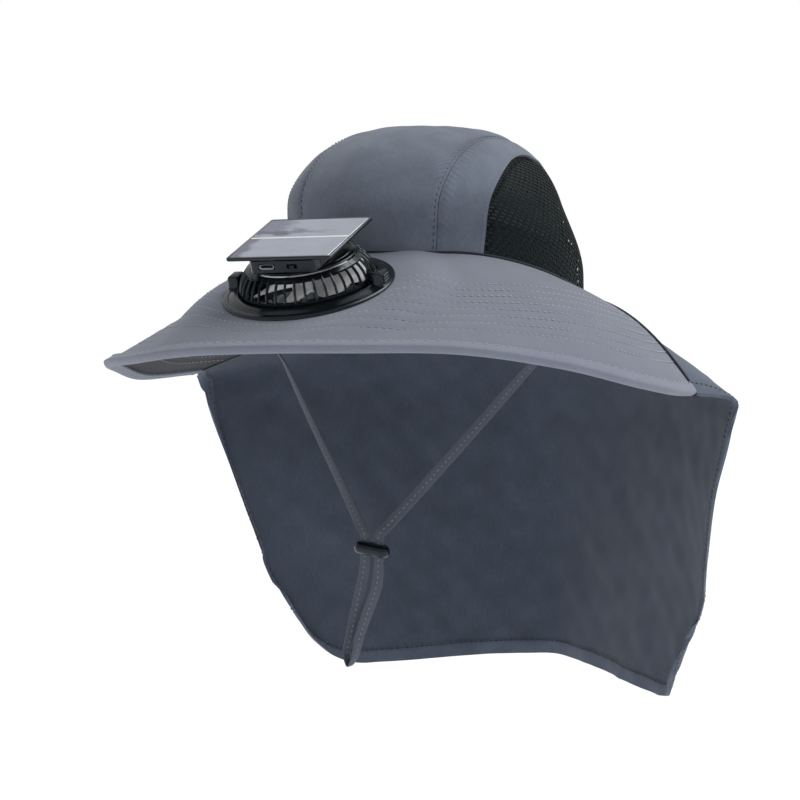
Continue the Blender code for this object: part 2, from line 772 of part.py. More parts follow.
def add_chin_strap(material):
    """The flat strap, one length from the right anchor through the lock, round the loop and back up."""
    add_object("chin_strap", swept_body(strap_sections()), material, smooth_angle=40)


def add_cord_lock(material):
    """The bean-shaped slider with a slot for each leg of the strap."""
    centre = (0.0, -STRAP_FORWARD, -STRAP_DROP)
    size = (LOCK_LENGTH, LOCK_DEPTH, LOCK_HEIGHT)
    bm = rounded_box(size, centre, LOCK_END_SHARE * LOCK_DEPTH, 4)
    rims = [edge for edge in bm.edges if abs(edge.verts[0].co.z - edge.verts[1].co.z) < 1e-6]
    bmesh.ops.bevel(bm, geom=rims, offset=LOCK_EDGE_SHARE * LOCK_HEIGHT, segments=2, affect="EDGES", profile=0.6)
    lock = add_object("cord_lock", bm, material, smooth_angle=40)
    for name, side in (("slot_right", -1.0), ("slot_left", 1.0)):
        width = STRAP_WIDTH + 2.0 * LOCK_SLOT_CLEARANCE
        depth = STRAP_WALL + 4.0 * LOCK_SLOT_CLEARANCE
        place = (side * STRAP_LEG_OFFSET, -STRAP_FORWARD, -STRAP_DROP)
        cutter = add_object(name, box_body((width, depth, 2.0 * LOCK_HEIGHT), place), material)
        add_boolean(lock, cutter, "DIFFERENCE")


def tube_radius():
    return CAGE_RADIUS + CAGE_CLEARANCE


def hole_radius():
    return tube_radius() + TUBE_WALL + HOLE_CLEARANCE


def lug_middle():
    return tube_radius() + LUG_SPACING + 0.5 * LUG_LENGTH


def add_flange(mount, material):
    """The ring on the brim with a tube down through its hole and two lugs that carry the pivots."""
    inner = tube_radius()
    outer = inner + TUBE_WALL
    slope = [(outer + out * (FLANGE_RADIUS - outer), up * FLANGE_HEIGHT) for out, up in FLANGE_ROWS]
    tube = [(inner, FLANGE_HEIGHT), (inner, -TUBE_DEPTH), (outer, -TUBE_DEPTH), (outer, TOUCH)]
    profile = [(FLANGE_RADIUS, TOUCH), *slope, *tube]
    flange = add_object("fan_flange", turned_body(profile, 40), material, mount, smooth_angle=35)
    base = LUG_BASE_SHARE * FLANGE_HEIGHT
    top = PIVOT_HEIGHT + LUG_RISE
    for name, side in (("lug_right", -1.0), ("lug_left", 1.0)):
        size = (LUG_LENGTH, LUG_WIDTH, top - base)
        bm = box_body(size, (side * lug_middle(), 0.0, 0.5 * (top + base)))
        upper = [edge for edge in bm.edges if min(vert.co.z for vert in edge.verts) > PIVOT_HEIGHT]
        bmesh.ops.bevel(bm, geom=upper, offset=LUG_BEVEL, segments=2, affect="EDGES", profile=0.5)
        add_boolean(flange, add_object(name, bm, material, mount), "UNION")
    bore = add_cylinder("pivot_bore", PIN_RADIUS + PIN_CLEARANCE, 4.0 * FLANGE_RADIUS, 16, material, mount)
    bore.location = (0.0, 0.0, PIVOT_HEIGHT)
    bore.rotation_euler = (0.0, math.pi / 2.0, 0.0)
    add_boolean(flange, bore, "DIFFERENCE")


def add_cylinder(name, radius, height, steps, material, parent):
    bm = bmesh.new()
    bmesh.ops.create_cone(bm, cap_ends=True, segments=steps, radius1=radius, radius2=radius, depth=height)
    return add_object(name, bm, material, parent, smooth_angle=40)


def add_lock_ring(mount, material):
    """The ring under the brim that grips it against the flange."""
    inner = tube_radius() + TUBE_WALL + TOUCH
    top = -BRIM_WALL - RING_GAP
    bottom = top - RING_HEIGHT
    profile = (
        (inner + RING_WIDTH, top),
        (inner, top),
        (inner, bottom),
        (inner + 0.75 * RING_WIDTH, bottom),
        (inner + RING_WIDTH, bottom + 0.3 * RING_HEIGHT),
    )
    add_object("fan_lock_ring", turned_body(profile, 32), material, mount, smooth_angle=35)


def basket_grids(rows, steps, slot_share):
    """Outer and inner points of a turned grille, with narrow columns for ribs and wide ones for slots."""
    pitch = 2.0 * np.pi / steps
    turn = (np.arange(steps)[:, None] * pitch + np.array([0.0, slot_share * pitch])).ravel()
    turn = turn + 0.5 * (1.0 - slot_share) * pitch
    radius, height = rows.T * CAGE_RADIUS
    slope_r, slope_z = np.gradient(radius), np.gradient(height)
    size = np.hypot(slope_r, slope_z)
    inner_radius = np.maximum(radius + CAGE_WALL * slope_z / size, 0.0)
    inner_height = height - CAGE_WALL * slope_r / size
    grids = []
    for r, z in ((radius, height), (inner_radius, inner_height)):
        x = r[:, None] * np.cos(turn)
        y = r[:, None] * np.sin(turn)
        grids.append(np.stack([x, y, z[:, None] + 0.0 * x], axis=-1))
    return grids


def add_cage(pivot, material):
    """The grille round the rotor, a zone of a ball about the pivot, with a bare place at each pin."""
    outer, inner = basket_grids(CAGE_ROWS, CAGE_RIBS, CAGE_SLOT_SHARE)
    is_open = np.zeros((len(CAGE_ROWS) - 1, 2 * CAGE_RIBS), dtype=bool)
    is_open[1:3, ::2] = True
    middle = np.mean([outer[2, ::2], np.roll(outer[2], -1, axis=0)[::2]], axis=0)
    at_pin = np.abs(middle[:, 1]) < PIN_RADIUS + CAGE_WALL
    is_open[1:3, np.flatnonzero(at_pin) * 2] = False
    body = grid_body(outer, inner, closed=True, is_open=is_open)
    add_object("fan_cage", body, material, pivot)


def add_intake(pivot, material):
    """The basket under the rotor, below the brim, with radial slots."""
    outer, inner = basket_grids(INTAKE_ROWS, INTAKE_RIBS, INTAKE_SLOT_SHARE)
    is_open = np.zeros((len(INTAKE_ROWS) - 1, 2 * INTAKE_RIBS), dtype=bool)
    is_open[1:3, ::2] = True
    inner[-1, :, :2] = 0.0
    body = grid_body(outer, inner, closed=True, is_open=is_open)
    add_object("fan_intake", body, material, pivot)


def add_pivot_pins(pivot, material):
    """The two pins between cage and lugs."""
    start = CAGE_RADIUS + TOUCH
    end = lug_middle() + 0.5 * LUG_LENGTH
    for name, side in (("pivot_pin_right", -1.0), ("pivot_pin_left", 1.0)):
        pin = add_cylinder(name, PIN_RADIUS, end - start, 16, material, pivot)
        pin.location = (side * 0.5 * (start + end), 0.0, 0.0)
        pin.rotation_euler = (0.0, math.pi / 2.0, 0.0)


def cap_bottom():
    return CAGE_ROWS[0, 1] * CAGE_RADIUS + TOUCH


def add_cap(pivot, material):
    """The round cover on the cage, under the housing."""
    bottom = cap_bottom()
    top = bottom + CAP_HEIGHT
    radius = CAGE_ROWS[0, 0] * CAGE_RADIUS
    profile = (
        (0.0, bottom),
        (radius - CAP_BEVEL, bottom),
        (radius, bottom + 0.5 * CAP_HEIGHT),
        (radius - CAP_BEVEL, top),
        (0.0, top),
    )
    add_object("fan_cap", turned_body(profile, 32, False), material, pivot, smooth_angle=35)


def add_motor(pivot, material):
    """The motor, hung under the cap."""
    top = cap_bottom() - TOUCH
    motor = add_cylinder("fan_motor", MOTOR_RADIUS, MOTOR_HEIGHT, 24, material, pivot)
    motor.location = (0.0, 0.0, top - 0.5 * MOTOR_HEIGHT)


def rotor_top():
    return cap_bottom() - 2.0 * TOUCH - MOTOR_HEIGHT


def blade_points():
    """One blade's upper face: span from the hub outward, chord turned more steeply towards the hub."""
    span = np.linspace(BLADE_ROOT_SHARE * ROTOR_HUB_RADIUS, ROTOR_RADIUS, 4)
    chord = np.linspace(-0.5, 0.5, 3)
    sweep = 2.0 * np.pi / ROTOR_BLADES * BLADE_SWEEP_SHARE
    share = (span - span[0]) / (span[-1] - span[0])
    width = BLADE_ROOT_CHORD + (1.0 - BLADE_ROOT_CHORD) * share
    turn = chord[:, None] * sweep * width + math.radians(BLADE_TWIST) * share
    height = chord[:, None] * BLADE_PITCH_SHARE * (ROTOR_HEIGHT - 2.0 * BLADE_WALL) + 0.0 * share
    x = span * np.cos(turn)
    y = span * np.sin(turn)
    return np.stack([x, y, height], axis=-1)


def add_rotor(spin, material):
    """The hub with its pitched blades."""
    hub = add_cylinder("fan_rotor", ROTOR_HUB_RADIUS, ROTOR_HEIGHT, 21, material, spin)
    upper = blade_points()
    thick = grid_normals(upper) * BLADE_WALL
    blades = bmesh.new()
    for number in range(ROTOR_BLADES):
        blade = grid_body(upper, upper - thick)
        turn = Matrix.Rotation(2.0 * math.pi * number / ROTOR_BLADES, 3, "Z")
        bmesh.ops.rotate(blade, cent=(0.0, 0.0, 0.0), matrix=turn, verts=blade.verts)
        mesh = bpy.data.meshes.new("blade")
        blade.to_mesh(mesh)
        blade.free()
        blades.from_mesh(mesh)
    add_boolean(hub, add_object("rotor_blades", blades, material, spin), "UNION")


def panel_bottom():
    return PANEL_TOP - PIVOT_HEIGHT - PANEL_HEIGHT


def housing_bottom():
    return cap_bottom() + CAP_HEIGHT + TOUCH


def housing_front():
    return -0.5 * PANEL_SIDE + HOUSING_SETBACK


def front_pocket(name, width, height, depth, offset, material, pivot):
    """A cutter for a pocket in the housing's front wall."""
    middle = 0.5 * (housing_bottom() + panel_bottom())
    size = (width, 2.0 * depth, height)
    return add_object(name, box_body(size, (offset, housing_front(), middle)), material, pivot)


def add_housing(pivot, material):
    """The box with battery and board between cap and panel."""
    bottom, top = housing_bottom(), panel_bottom() - TOUCH
    size = (HOUSING_WIDTH, HOUSING_DEPTH, top - bottom)
    centre = (0.0, housing_front() + 0.5 * HOUSING_DEPTH, 0.5 * (top + bottom))
    housing = add_object("panel_housing", rounded_box(size, centre, HOUSING_CORNER, 3), material, pivot, smooth_angle=35)
    port = front_pocket("port_pocket", PORT_WIDTH, PORT_HEIGHT, PORT_DEPTH, PORT_OFFSET, material, pivot)
    add_boolean(housing, port, "DIFFERENCE")
    slot = front_pocket("switch_pocket", SWITCH_WIDTH, SWITCH_HEIGHT, SWITCH_DEPTH, SWITCH_OFFSET, material, pivot)
    add_boolean(housing, slot, "DIFFERENCE")


def add_port(pivot, material):
    """The charging socket, a metal shell set in its pocket."""
    middle = 0.5 * (housing_bottom() + panel_bottom())
    size = (PORT_WIDTH - 2.0 * TOUCH, PORT_DEPTH - TOUCH, PORT_HEIGHT - 2.0 * TOUCH)
    centre = (PORT_OFFSET, housing_front() + 0.5 * size[1], middle)
    body = sunk_box(size, centre, PORT_SHELL_WALL, PORT_SHELL_DEPTH, 1, -1.0)
    add_object("usb_port", body, material, pivot)


def add_switch(slide, material):
    """The sliding button, which stands a little proud of its pocket."""
    height = SWITCH_HEIGHT - 2.0 * TOUCH
    size = (KNOB_WIDTH, SWITCH_DEPTH - TOUCH + KNOB_PROUD, height)
    centre = (0.0, 0.5 * size[1] - KNOB_PROUD, 0.0)
    bm = box_body(size, centre)
    front = [edge for edge in bm.edges if max(vert.co.y for vert in edge.verts) < 0.0]
    bmesh.ops.bevel(bm, geom=front, offset=KNOB_BEVEL, segments=1, affect="EDGES")
    add_object("power_switch", bm, material, slide)


def add_panel(pivot, frame_material, cell_material, bar_material):
    """The solar panel: a tray, two rows of cells and the bright bar between them."""
    centre = (0.0, 0.0, panel_bottom() + 0.5 * PANEL_HEIGHT)
    size = (PANEL_SIDE, PANEL_SIDE, PANEL_HEIGHT)
    tray = sunk_box(size, centre, PANEL_RIM, PANEL_RECESS, 2, 1.0)
    add_object("solar_frame", tray, frame_material, pivot)
    inside = PANEL_SIDE - 2.0 * PANEL_RIM - 2.0 * TOUCH
    floor = panel_bottom() + PANEL_HEIGHT - PANEL_RECESS + TOUCH
    middle = floor + 0.5 * CELL_HEIGHT
    depth = 0.5 * (inside - BUSBAR_WIDTH) - TOUCH
    offset = 0.5 * BUSBAR_WIDTH + TOUCH + 0.5 * depth
    for name, side in (("solar_cells_front", -1.0), ("solar_cells_back", 1.0)):
        cells = box_body((inside, depth, CELL_HEIGHT), (0.0, side * offset, middle))
        add_object(name, cells, cell_material, pivot)
    bar = box_body((inside, BUSBAR_WIDTH, CELL_HEIGHT), (0.0, 0.0, middle))
    add_object("solar_busbar", bar, bar_material, pivot)


def main():
    clear_scene()
    cloth = make_material("grey_cloth", (0.150, 0.168, 0.200), 0.85)
    light_cloth = make_material("brim_cloth", (0.215, 0.235, 0.275), 0.80)
    flap_cloth = make_material("flap_cloth", (0.060, 0.072, 0.095), 0.85)
    net = make_material("black_net", (0.012, 0.016, 0.016), 0.75)
    black = make_material("black_plastic", (0.010, 0.010, 0.012), 0.30)
    cells = make_material("solar_cells", (0.030, 0.028, 0.060), 0.18)
    metal = make_material("bright_metal", (0.70, 0.70, 0.70), 0.30, 1.0)
    blade = make_material("grey_plastic", (0.55, 0.56, 0.58), 0.35)

    seat = fan_seat()
    slope = brim_slope()
    mount = add_empty("fan_seat", seat, (slope, 0.0, 0.0))
    turned = add_empty("fan_turn", (0.0, 0.0, 0.0), (0.0, 0.0, math.radians(FAN_YAW)), mount)
    pivot = add_empty("tilt_axis", (0.0, 0.0, PIVOT_HEIGHT), parent=turned)
    spin = add_empty("spin_axis", (0.0, 0.0, rotor_top() - 0.5 * ROTOR_HEIGHT), parent=pivot)
    middle = 0.5 * (housing_bottom() + panel_bottom())
    slide = add_empty("switch_axis", (SWITCH_OFFSET, housing_front(), middle), parent=pivot)

    add_crown_center(cloth)
    add_crown_side("crown_side_right", -1.0, cloth)
    add_crown_side("crown_side_left", 1.0, cloth)
    add_mesh_vent("mesh_vent_right", -1.0, net)
    add_mesh_vent("mesh_vent_left", 1.0, net)
    add_sweatband(flap_cloth)
    hole = add_cylinder("brim_hole", hole_radius(), 8.0 * BRIM_WALL, 48, light_cloth, mount)
    add_brim(light_cloth, hole)
    add_binding(light_cloth)
    add_neck_flap(flap_cloth)
    add_chin_strap(cloth)
    add_cord_lock(black)

    add_flange(turned, black)
    add_lock_ring(turned, black)
    add_cage(pivot, black)
    add_intake(pivot, black)
    add_pivot_pins(pivot, black)
    add_cap(pivot, black)
    add_motor(pivot, black)
    add_rotor(spin, blade)
    add_housing(pivot, black)
    add_port(pivot, metal)
    add_switch(slide, black)
    add_panel(pivot, black, cells, metal)


main()
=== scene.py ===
import math

import bpy
import mathutils
import numpy as np
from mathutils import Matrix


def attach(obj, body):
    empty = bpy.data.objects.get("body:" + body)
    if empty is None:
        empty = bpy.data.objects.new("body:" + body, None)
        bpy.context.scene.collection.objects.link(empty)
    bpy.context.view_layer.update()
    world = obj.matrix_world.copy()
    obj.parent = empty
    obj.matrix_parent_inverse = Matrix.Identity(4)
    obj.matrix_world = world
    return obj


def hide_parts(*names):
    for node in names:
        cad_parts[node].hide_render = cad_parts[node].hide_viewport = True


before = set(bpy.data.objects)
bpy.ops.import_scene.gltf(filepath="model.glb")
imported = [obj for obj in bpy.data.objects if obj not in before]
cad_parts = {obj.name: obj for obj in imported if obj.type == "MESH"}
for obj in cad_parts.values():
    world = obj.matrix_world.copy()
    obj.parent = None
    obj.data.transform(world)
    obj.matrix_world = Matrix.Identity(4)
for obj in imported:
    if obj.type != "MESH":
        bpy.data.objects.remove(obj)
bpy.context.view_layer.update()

bl_info = {
    "name": "Solar Fan Hat",
    "version": (1, 0, 0),
    "blender": (4, 5, 0),
    "location": "View3D > Sidebar > Hat",
    "description": "Builds the cloth, net, strap and fan of a sun hat round its packed solids",
    "category": "Object",
}

# Crown, in metres, as the solids have it
CROWN_HALF_WIDTH = 0.084
CROWN_HALF_LENGTH = 0.095
CROWN_HEIGHT = 0.0710
CROWN_SQUARENESS = 2.45
CROWN_WALL = 0.0016
CROWN_MIDDLE = np.array([0.0, 0.0, -0.05])
DOME_HALF_LENGTH = 0.0870
DOME_LEAN = 0.0135
DOME_LEAN_START = 0.12
DOME_LEAN_END = 0.50
SEAM_DROP = 0.030
SEAM_DROP_START = 35.0
SEAM_DROP_END = 130.0
STRIP_LEAN = 0.587
VENT_MIDDLE = 93.0
VENT_HALF = 45.0
VENT_RISE = 47.0
BAND_HEIGHT = 0.025
BAND_CLEARANCE = 0.0008
BAND_BACK_EASE = 0.0046
BAND_WALL = 0.0014
PIECE_GAP = 0.0004

# Brim
BRIM_HALF_WIDTH = 0.171
BRIM_REACH = 0.130
BRIM_WAIST = 0.175
BRIM_DROP = 0.077
BRIM_WALL = 0.0024
BRIM_ARCH = 0.0120
BRIM_ARCH_START = 34.0
BRIM_ARCH_FULL = 97.0
BRIM_SQUARENESS = 1.76
BRIM_INNER_END = 125.0
BRIM_OUTER_END = 103.0
BRIM_EDGE_ROWS = np.array([
    # angle from the front in degrees, drop of the edge as a share of BRIM_DROP
    (-103.0, 1.000),
    (-85.0, 0.990),
    (-70.0, 0.880),
    (-50.0, 0.790),
    (-30.0, 0.715),
    (-15.0, 0.640),
    (0.0, 0.585),
    (20.0, 0.565),
    (40.0, 0.580),
    (60.0, 0.700),
    (80.0, 0.880),
    (90.0, 0.950),
    (103.0, 1.000),
])

# Neck flap
FLAP_LENGTH = 0.2400
FLAP_HALF_WIDTH = 0.1790
FLAP_DEPTH = 0.1700
FLAP_WALL = 0.0014
FLAP_CROWN_SHARE = 0.39
FLAP_CORNER_WIDTH = 0.38
FLAP_CORNER_RISE = 0.245
FLAP_FOLD_DEPTH = 0.0040
FLAP_SPREAD_POWER = 0.9
FLAP_SLOPE_POWER = 1.5
FLAP_ROWS = np.array([
    # down, edge width, edge back, edge drop, back, back drop, roundness
    (0.00, 0.940, -0.054, 0.000, 0.590, 0.000, 2.30),
    (0.10, 1.000, 0.115, 0.022, 0.690, 0.085, 2.20),
    (0.20, 0.978, 0.134, 0.105, 0.790, 0.185, 2.05),
    (0.40, 0.915, 0.176, 0.260, 0.880, 0.385, 1.80),
    (0.60, 0.865, 0.247, 0.425, 0.940, 0.590, 1.60),
    (0.80, 0.812, 0.332, 0.590, 0.975, 0.790, 1.45),
    (1.00, 0.660, 0.440, 0.815, 1.000, 0.997, 1.35),
])
FLAP_FOLD_ROWS = np.array([
    # across, spread, depth
    (-0.78, 0.16, 0.8),
    (-0.42, 0.20, -0.7),
    (-0.08, 0.18, 0.6),
    (0.30, 0.22, -0.9),
    (0.66, 0.16, 1.0),
    (0.90, 0.10, -0.6),
])

# Chin strap and lock
STRAP_WIDTH = 0.0062
STRAP_WALL = 0.0012
STRAP_AZIMUTH = 85.0
STRAP_SPREAD = 0.096
STRAP_FORWARD = 0.078
STRAP_DROP = 0.1665
STRAP_LOOP = 0.062
STRAP_GROOVE = 0.25
STRAP_GROOVE_WIDTH = 0.0009
STRAP_LEG_OFFSET = 0.0044
STRAP_SEWN_GAP = 0.0013
STRAP_SEWN_SHARES = (0.05, 0.11, 0.17)
LOCK_LENGTH = 0.0215
LOCK_DEPTH = 0.0095
LOCK_HEIGHT = 0.0068
LOCK_TILT = 6.0
STRAP_FALL_ROWS = np.array([
    # across, forward, down, turn in degrees
    (0.980, 0.470, 0.280, 80.0),
    (0.800, 0.570, 0.410, 45.0),
    (0.520, 0.730, 0.615, 28.0),
    (0.235, 0.890, 0.820, 18.0),
    (0.110, 0.965, 0.910, 8.0),
])
STRAP_LOOP_ROWS = np.array([
    # across, down, turn in degrees
    (-0.105, 0.20, 12.0),
    (-0.165, 0.45, 30.0),
    (-0.225, 0.70, 55.0),
    (-0.270, 0.90, 80.0),
    (-0.235, 0.99, 90.0),
    (-0.195, 0.93, 80.0),
    (-0.130, 0.70, 55.0),
    (-0.035, 0.45, 30.0),
    (0.055, 0.20, 12.0),
])

# Fan
FAN_REACH = 0.0540
FAN_YAW = 6.0
SEAT_FLAT_RADIUS = 0.055
# wider than the solids' 0.070, so that the cloth dips less beside the fan
SEAT_BLEND_RADIUS = 0.082
FLANGE_RADIUS = 0.0465
FLANGE_HEIGHT = 0.0036
FLANGE_LIP = (0.0017, 0.0014)
FLANGE_ROWS = np.array([
    # out from the tube's outer wall, height: a fine groove, then the rise to the tube
    (0.0040, 0.0023),
    (0.0037, 0.0021),
    (0.0033, 0.0023),
    (0.0017, 0.0029),
    (0.0008, 0.0034),
])
TUBE_WALL = 0.0018
TUBE_DEPTH = 0.0090
CAGE_RADIUS = 0.0370
CAGE_WALL = 0.0018
CAGE_CLEARANCE = 0.0007
PIVOT_HEIGHT = 0.0050
LUG_SPACING = 0.0012
LUG_LENGTH = 0.0062
LUG_WIDTH = 0.0120
LUG_RISE = 0.0068
LUG_FOOT = 0.0022
# shares of LUG_RISE and LUG_WIDTH that the block has
LUG_TOP = 0.62
LUG_DEPTH = 0.40
LUG_BARS = (0.0038, 0.0054, 0.0070)
LUG_BAR_RADIUS = 0.0006
LUG_BAR_END = 0.0016
RING_GAP = 0.0008
RING_WIDTH = 0.0050
RING_HEIGHT = 0.0036
RING_GRIPS = 36
GRIP_RADIUS = 0.0007
CAP_ROWS = np.array([
    # in from the cap's edge, up from its foot
    (0.0012, 0.0),
    (0.0002, 0.0004),
    (0.0, 0.0009),
    (0.0003, 0.0014),
    (0.0010, 0.0016),
    (0.0030, 0.0016),
    (0.0033, 0.0013),
    (0.0036, 0.0016),
])
MOTOR_HEIGHT = 0.0055
ROTOR_RADIUS = 0.0315
ROTOR_HUB_RADIUS = 0.0088
ROTOR_HEIGHT = 0.0110
ROTOR_HUB_ROWS = np.array([
    # in from the hub's radius, up from its foot
    (0.0010, 0.0),
    (0.0002, 0.0004),
    (0.0, 0.0010),
    (0.0, 0.0100),
    (0.0004, 0.0107),
    (0.0012, 0.0110),
])
ROTOR_BLADES = 7
BLADE_WALL = 0.0013
BLADE_TWIST = 26.0
BLADE_CHORD = 0.62
BLADE_PITCH = 0.90
BLADE_CAMBER = 0.0010
PANEL_SIDE = 0.0600
PANEL_HEIGHT = 0.0030
PANEL_TOP = 0.0290
PANEL_RIM = 0.0013
PANEL_RECESS = 0.0010
TRAY_HEIGHT = 0.0020
BAR_WIDTH = 0.0016
LUG_FOOT_ROWS = np.array([
    # in from the sides, corner radius, up from the foot
    (-0.0006, 0.0014, 0.0),
    (0.0, 0.0012, 0.0010),
])
LUG_TOP_ROWS = np.array([
    # in from the sides, corner radius, up from the top
    (0.0, 0.0012, -0.0012),
    (0.0004, 0.0010, -0.0004),
    (0.0012, 0.0006, 0.0),
])
RING_ROWS = np.array([
    # how far along the ring's underside, from the bore, and up from its bottom
    (0.0, 0.0),
    (0.0036, 0.0),
    (0.0042, 0.0003),
])
RING_EDGE = 0.0004
RING_EASE = 0.0012
GRIP_SHORT = 0.0006
CELL_ROWS = np.array([
    # in from the sides, corner radius, up from the foot
    (0.0, 0.0006, 0.0),
    (0.0, 0.0006, 0.0005),
    (0.0002, 0.0005, 0.0007),
])
BAR_ROWS = np.array([
    # in from the sides, corner radius, up from the foot
    (0.0, 0.0003, 0.0),
    (0.0, 0.0003, 0.0007),
    (0.0001, 0.0002, 0.0008),
])
# the cells' painted dark reflections, a band, a corner and the left edge: where each begins or ends,
# from the panel's middle
CELL_DARK_REFLECTION_BAND = (0.0050, 0.0125, 0.019)
CELL_DARK_REFLECTION_CORNER = (-0.0105, 0.0025)
CELL_DARK_REFLECTION_LEFT = (-0.0215, 0.004)
CELL_FINGER = 0.0016
PORT_PLACE = (-0.0085, -0.0270, 0.0177)
PORT_HALF = (0.00415, 0.0013)
PORT_DEPTH = 0.0030
PORT_WALL = 0.00032
PORT_EASE = 0.0001
TOUCH = 0.0003
CAGE_ROWS = np.array([
    # radius and height from the pivot, shares of CAGE_RADIUS
    (0.784, 0.330),
    (0.856, 0.286),
    (0.945, 0.162),
    (0.990, 0.014),
    (0.985, -0.108),
    (0.955, -0.265),
])
INTAKE_ROWS = np.array([
    # radius and height from the pivot, shares of CAGE_RADIUS
    (0.950, -0.281),
    (0.895, -0.420),
    (0.745, -0.590),
    (0.480, -0.650),
    (0.220, -0.660),
])
INTAKE_HUB_ROWS = np.array([
    # in from the ribs' inner end, up from it
    (-0.0012, 0.0016),
    (-0.0014, 0.0003),
    (-0.0010, -0.0002),
])
INTAKE_HOOPS = (0.50, 0.68, 0.84)
RIB_WIDTH = 0.0014
INTAKE_RIB_WIDTH = 0.0013
BOSS_START = 0.0352
BOSS_RADIUS = 0.0038
BOSS_PROUD = 0.0004

# Cloth as it is sewn
NET_WALL = 0.0005
NET_ROW = 0.0290
# where strands begin and end along a pitch of the net, and the share of a row that its bar takes
NET_BREAKS = np.array([0.0, 0.24, 0.50, 0.74])
NET_BAR = 0.36
# the net's rows: rise lost per azimuth, angles below the foot that they start at and end at, and the angles
# that the lattice runs past the arch, above it in degrees and beside it in radians
NET_SLANT = 0.22
NET_START = 0.27
NET_LOWEST = -0.015
NET_OVERRUN = 28.0
NET_MARGIN = 0.02
NET_SINK = 0.0002
NET_TUCK = 0.0001
# shares of the arch where the net starts to draw in, how far that takes, and where it ends
NET_TUCK_START = 0.93
NET_TUCK_WIDTH = 0.05
NET_EDGE = 1.04
BAND_GATHER = 0.0003
TAPE_WALL = 0.0010
TAPE_SINK = 0.0012
TAPE_LIFT = 0.0002
TAPE_SWELL = 0.0004
TAPE_STITCH_INSET = 0.0009
SEAM_STITCH_INSET = 0.0019
ARCH_STITCH_INSET = 0.0015
STITCH_LIFT = 0.0001
STITCH_SINK = 0.00025
STITCH_CLEARANCE = 0.001
# degrees short of the brim's own end
SEWN_END = 0.6
PIPING_RADIUS = 0.0010
PIPING_BESIDE = 0.0005
PIPING_DROPS = (-0.0004, 0.0010, 0.0024)
# the cords round the crown: clearance from it, radius
FOOT_CORD = (0.0004, 0.0008)
BACK_CORD = (0.0011, 0.0012)
BRIM_CUT_RADIUS = 0.0425
FOLD_TOP = 0.86
FOLD_FOOT = 0.87
FOLD_TURN = 1.7
NECK = np.array([0.0, 0.0, -0.2])
HEM_WALL = 0.0009
HEM_INSET = 0.0012
HEM_STEP = 0.0012
HEM_GROOVE = 0.0003
HEM_GROOVE_WIDTH = 0.0009
HEM_GATHER_REACH = 0.0055
GATHER_REACH = 0.0045
SEAM_VALLEY = 0.0008
QUILT_DEPTH = 0.00035
QUILT_WIDTH = 0.0013
# from the fan's centre to where the brim's relief starts, and how far it takes to rise
QUILT_START = 0.050
QUILT_EASE = 0.015
LOCK_ROUNDING = 0.0026
LOCK_SAG = 6.0

# Soft unevenness of the cloth: depth and wavelength
CROWN_WAVE = (0.0006, 0.050)
CROWN_CREASE = (0.0003, 0.017)
CROWN_GATHER = (0.0010, 0.0036)
BRIM_WAVE = (0.00045, 0.045)
FLAP_WAVE = (0.0016, 0.060)
FLAP_CREASE = (0.0009, 0.022)
HEM_GATHER = (0.00022, 0.0051)

# Grids of the cloth: rows and columns, or columns alone
STRIP_GRID = (81, 341)
SIDE_GRID = (49, 301)
BAND_GRID = (15, 481)
FLAP_GRID = (121, 261)
BRIM_COLUMNS = 321
BRIM_INNER_ROWS = 14
TAPE_COLUMNS = 961
SEWN_COLUMNS = 721
STRAP_RINGS = 521

# Camera and floor
CAMERA_AZIMUTH = 28.6
CAMERA_ELEVATION = 5.2
CAMERA_DISTANCE = 1.4
CAMERA_LENS = 107.1
CAMERA_SENSOR = 36.0
CAMERA_FAR = 100.0
CAMERA_ACROSS = -0.0264
CAMERA_UP = -0.0893
CAMERA_CENTRE = np.array([0.0, 0.010, 0.0])
FLOOR_HEIGHT = -1.250
FLOOR_HALF = 40.0
KEY_DIRECTION = (0.55, 0.50, 1.0)
KEY_ANGLE = 50.0

# Stitching: pitch of the stitches, then the length, width and height of one
CROWN_STITCH = (0.0037, 0.0021, 0.0006, 0.0004)
ARCH_STITCH = (0.0026, 0.0015, 0.0005, 0.0002)
BRIM_STITCH = (0.0037, 0.0021, 0.0007, 0.0004)
TAPE_STITCH = (0.0062, 0.0024, 0.0007, 0.0004)
HEM_STITCH = (0.0034, 0.0022, 0.0007, 0.0005)
STRAP_STITCH = (0.0032, 0.0017, 0.0008, 0.0004)


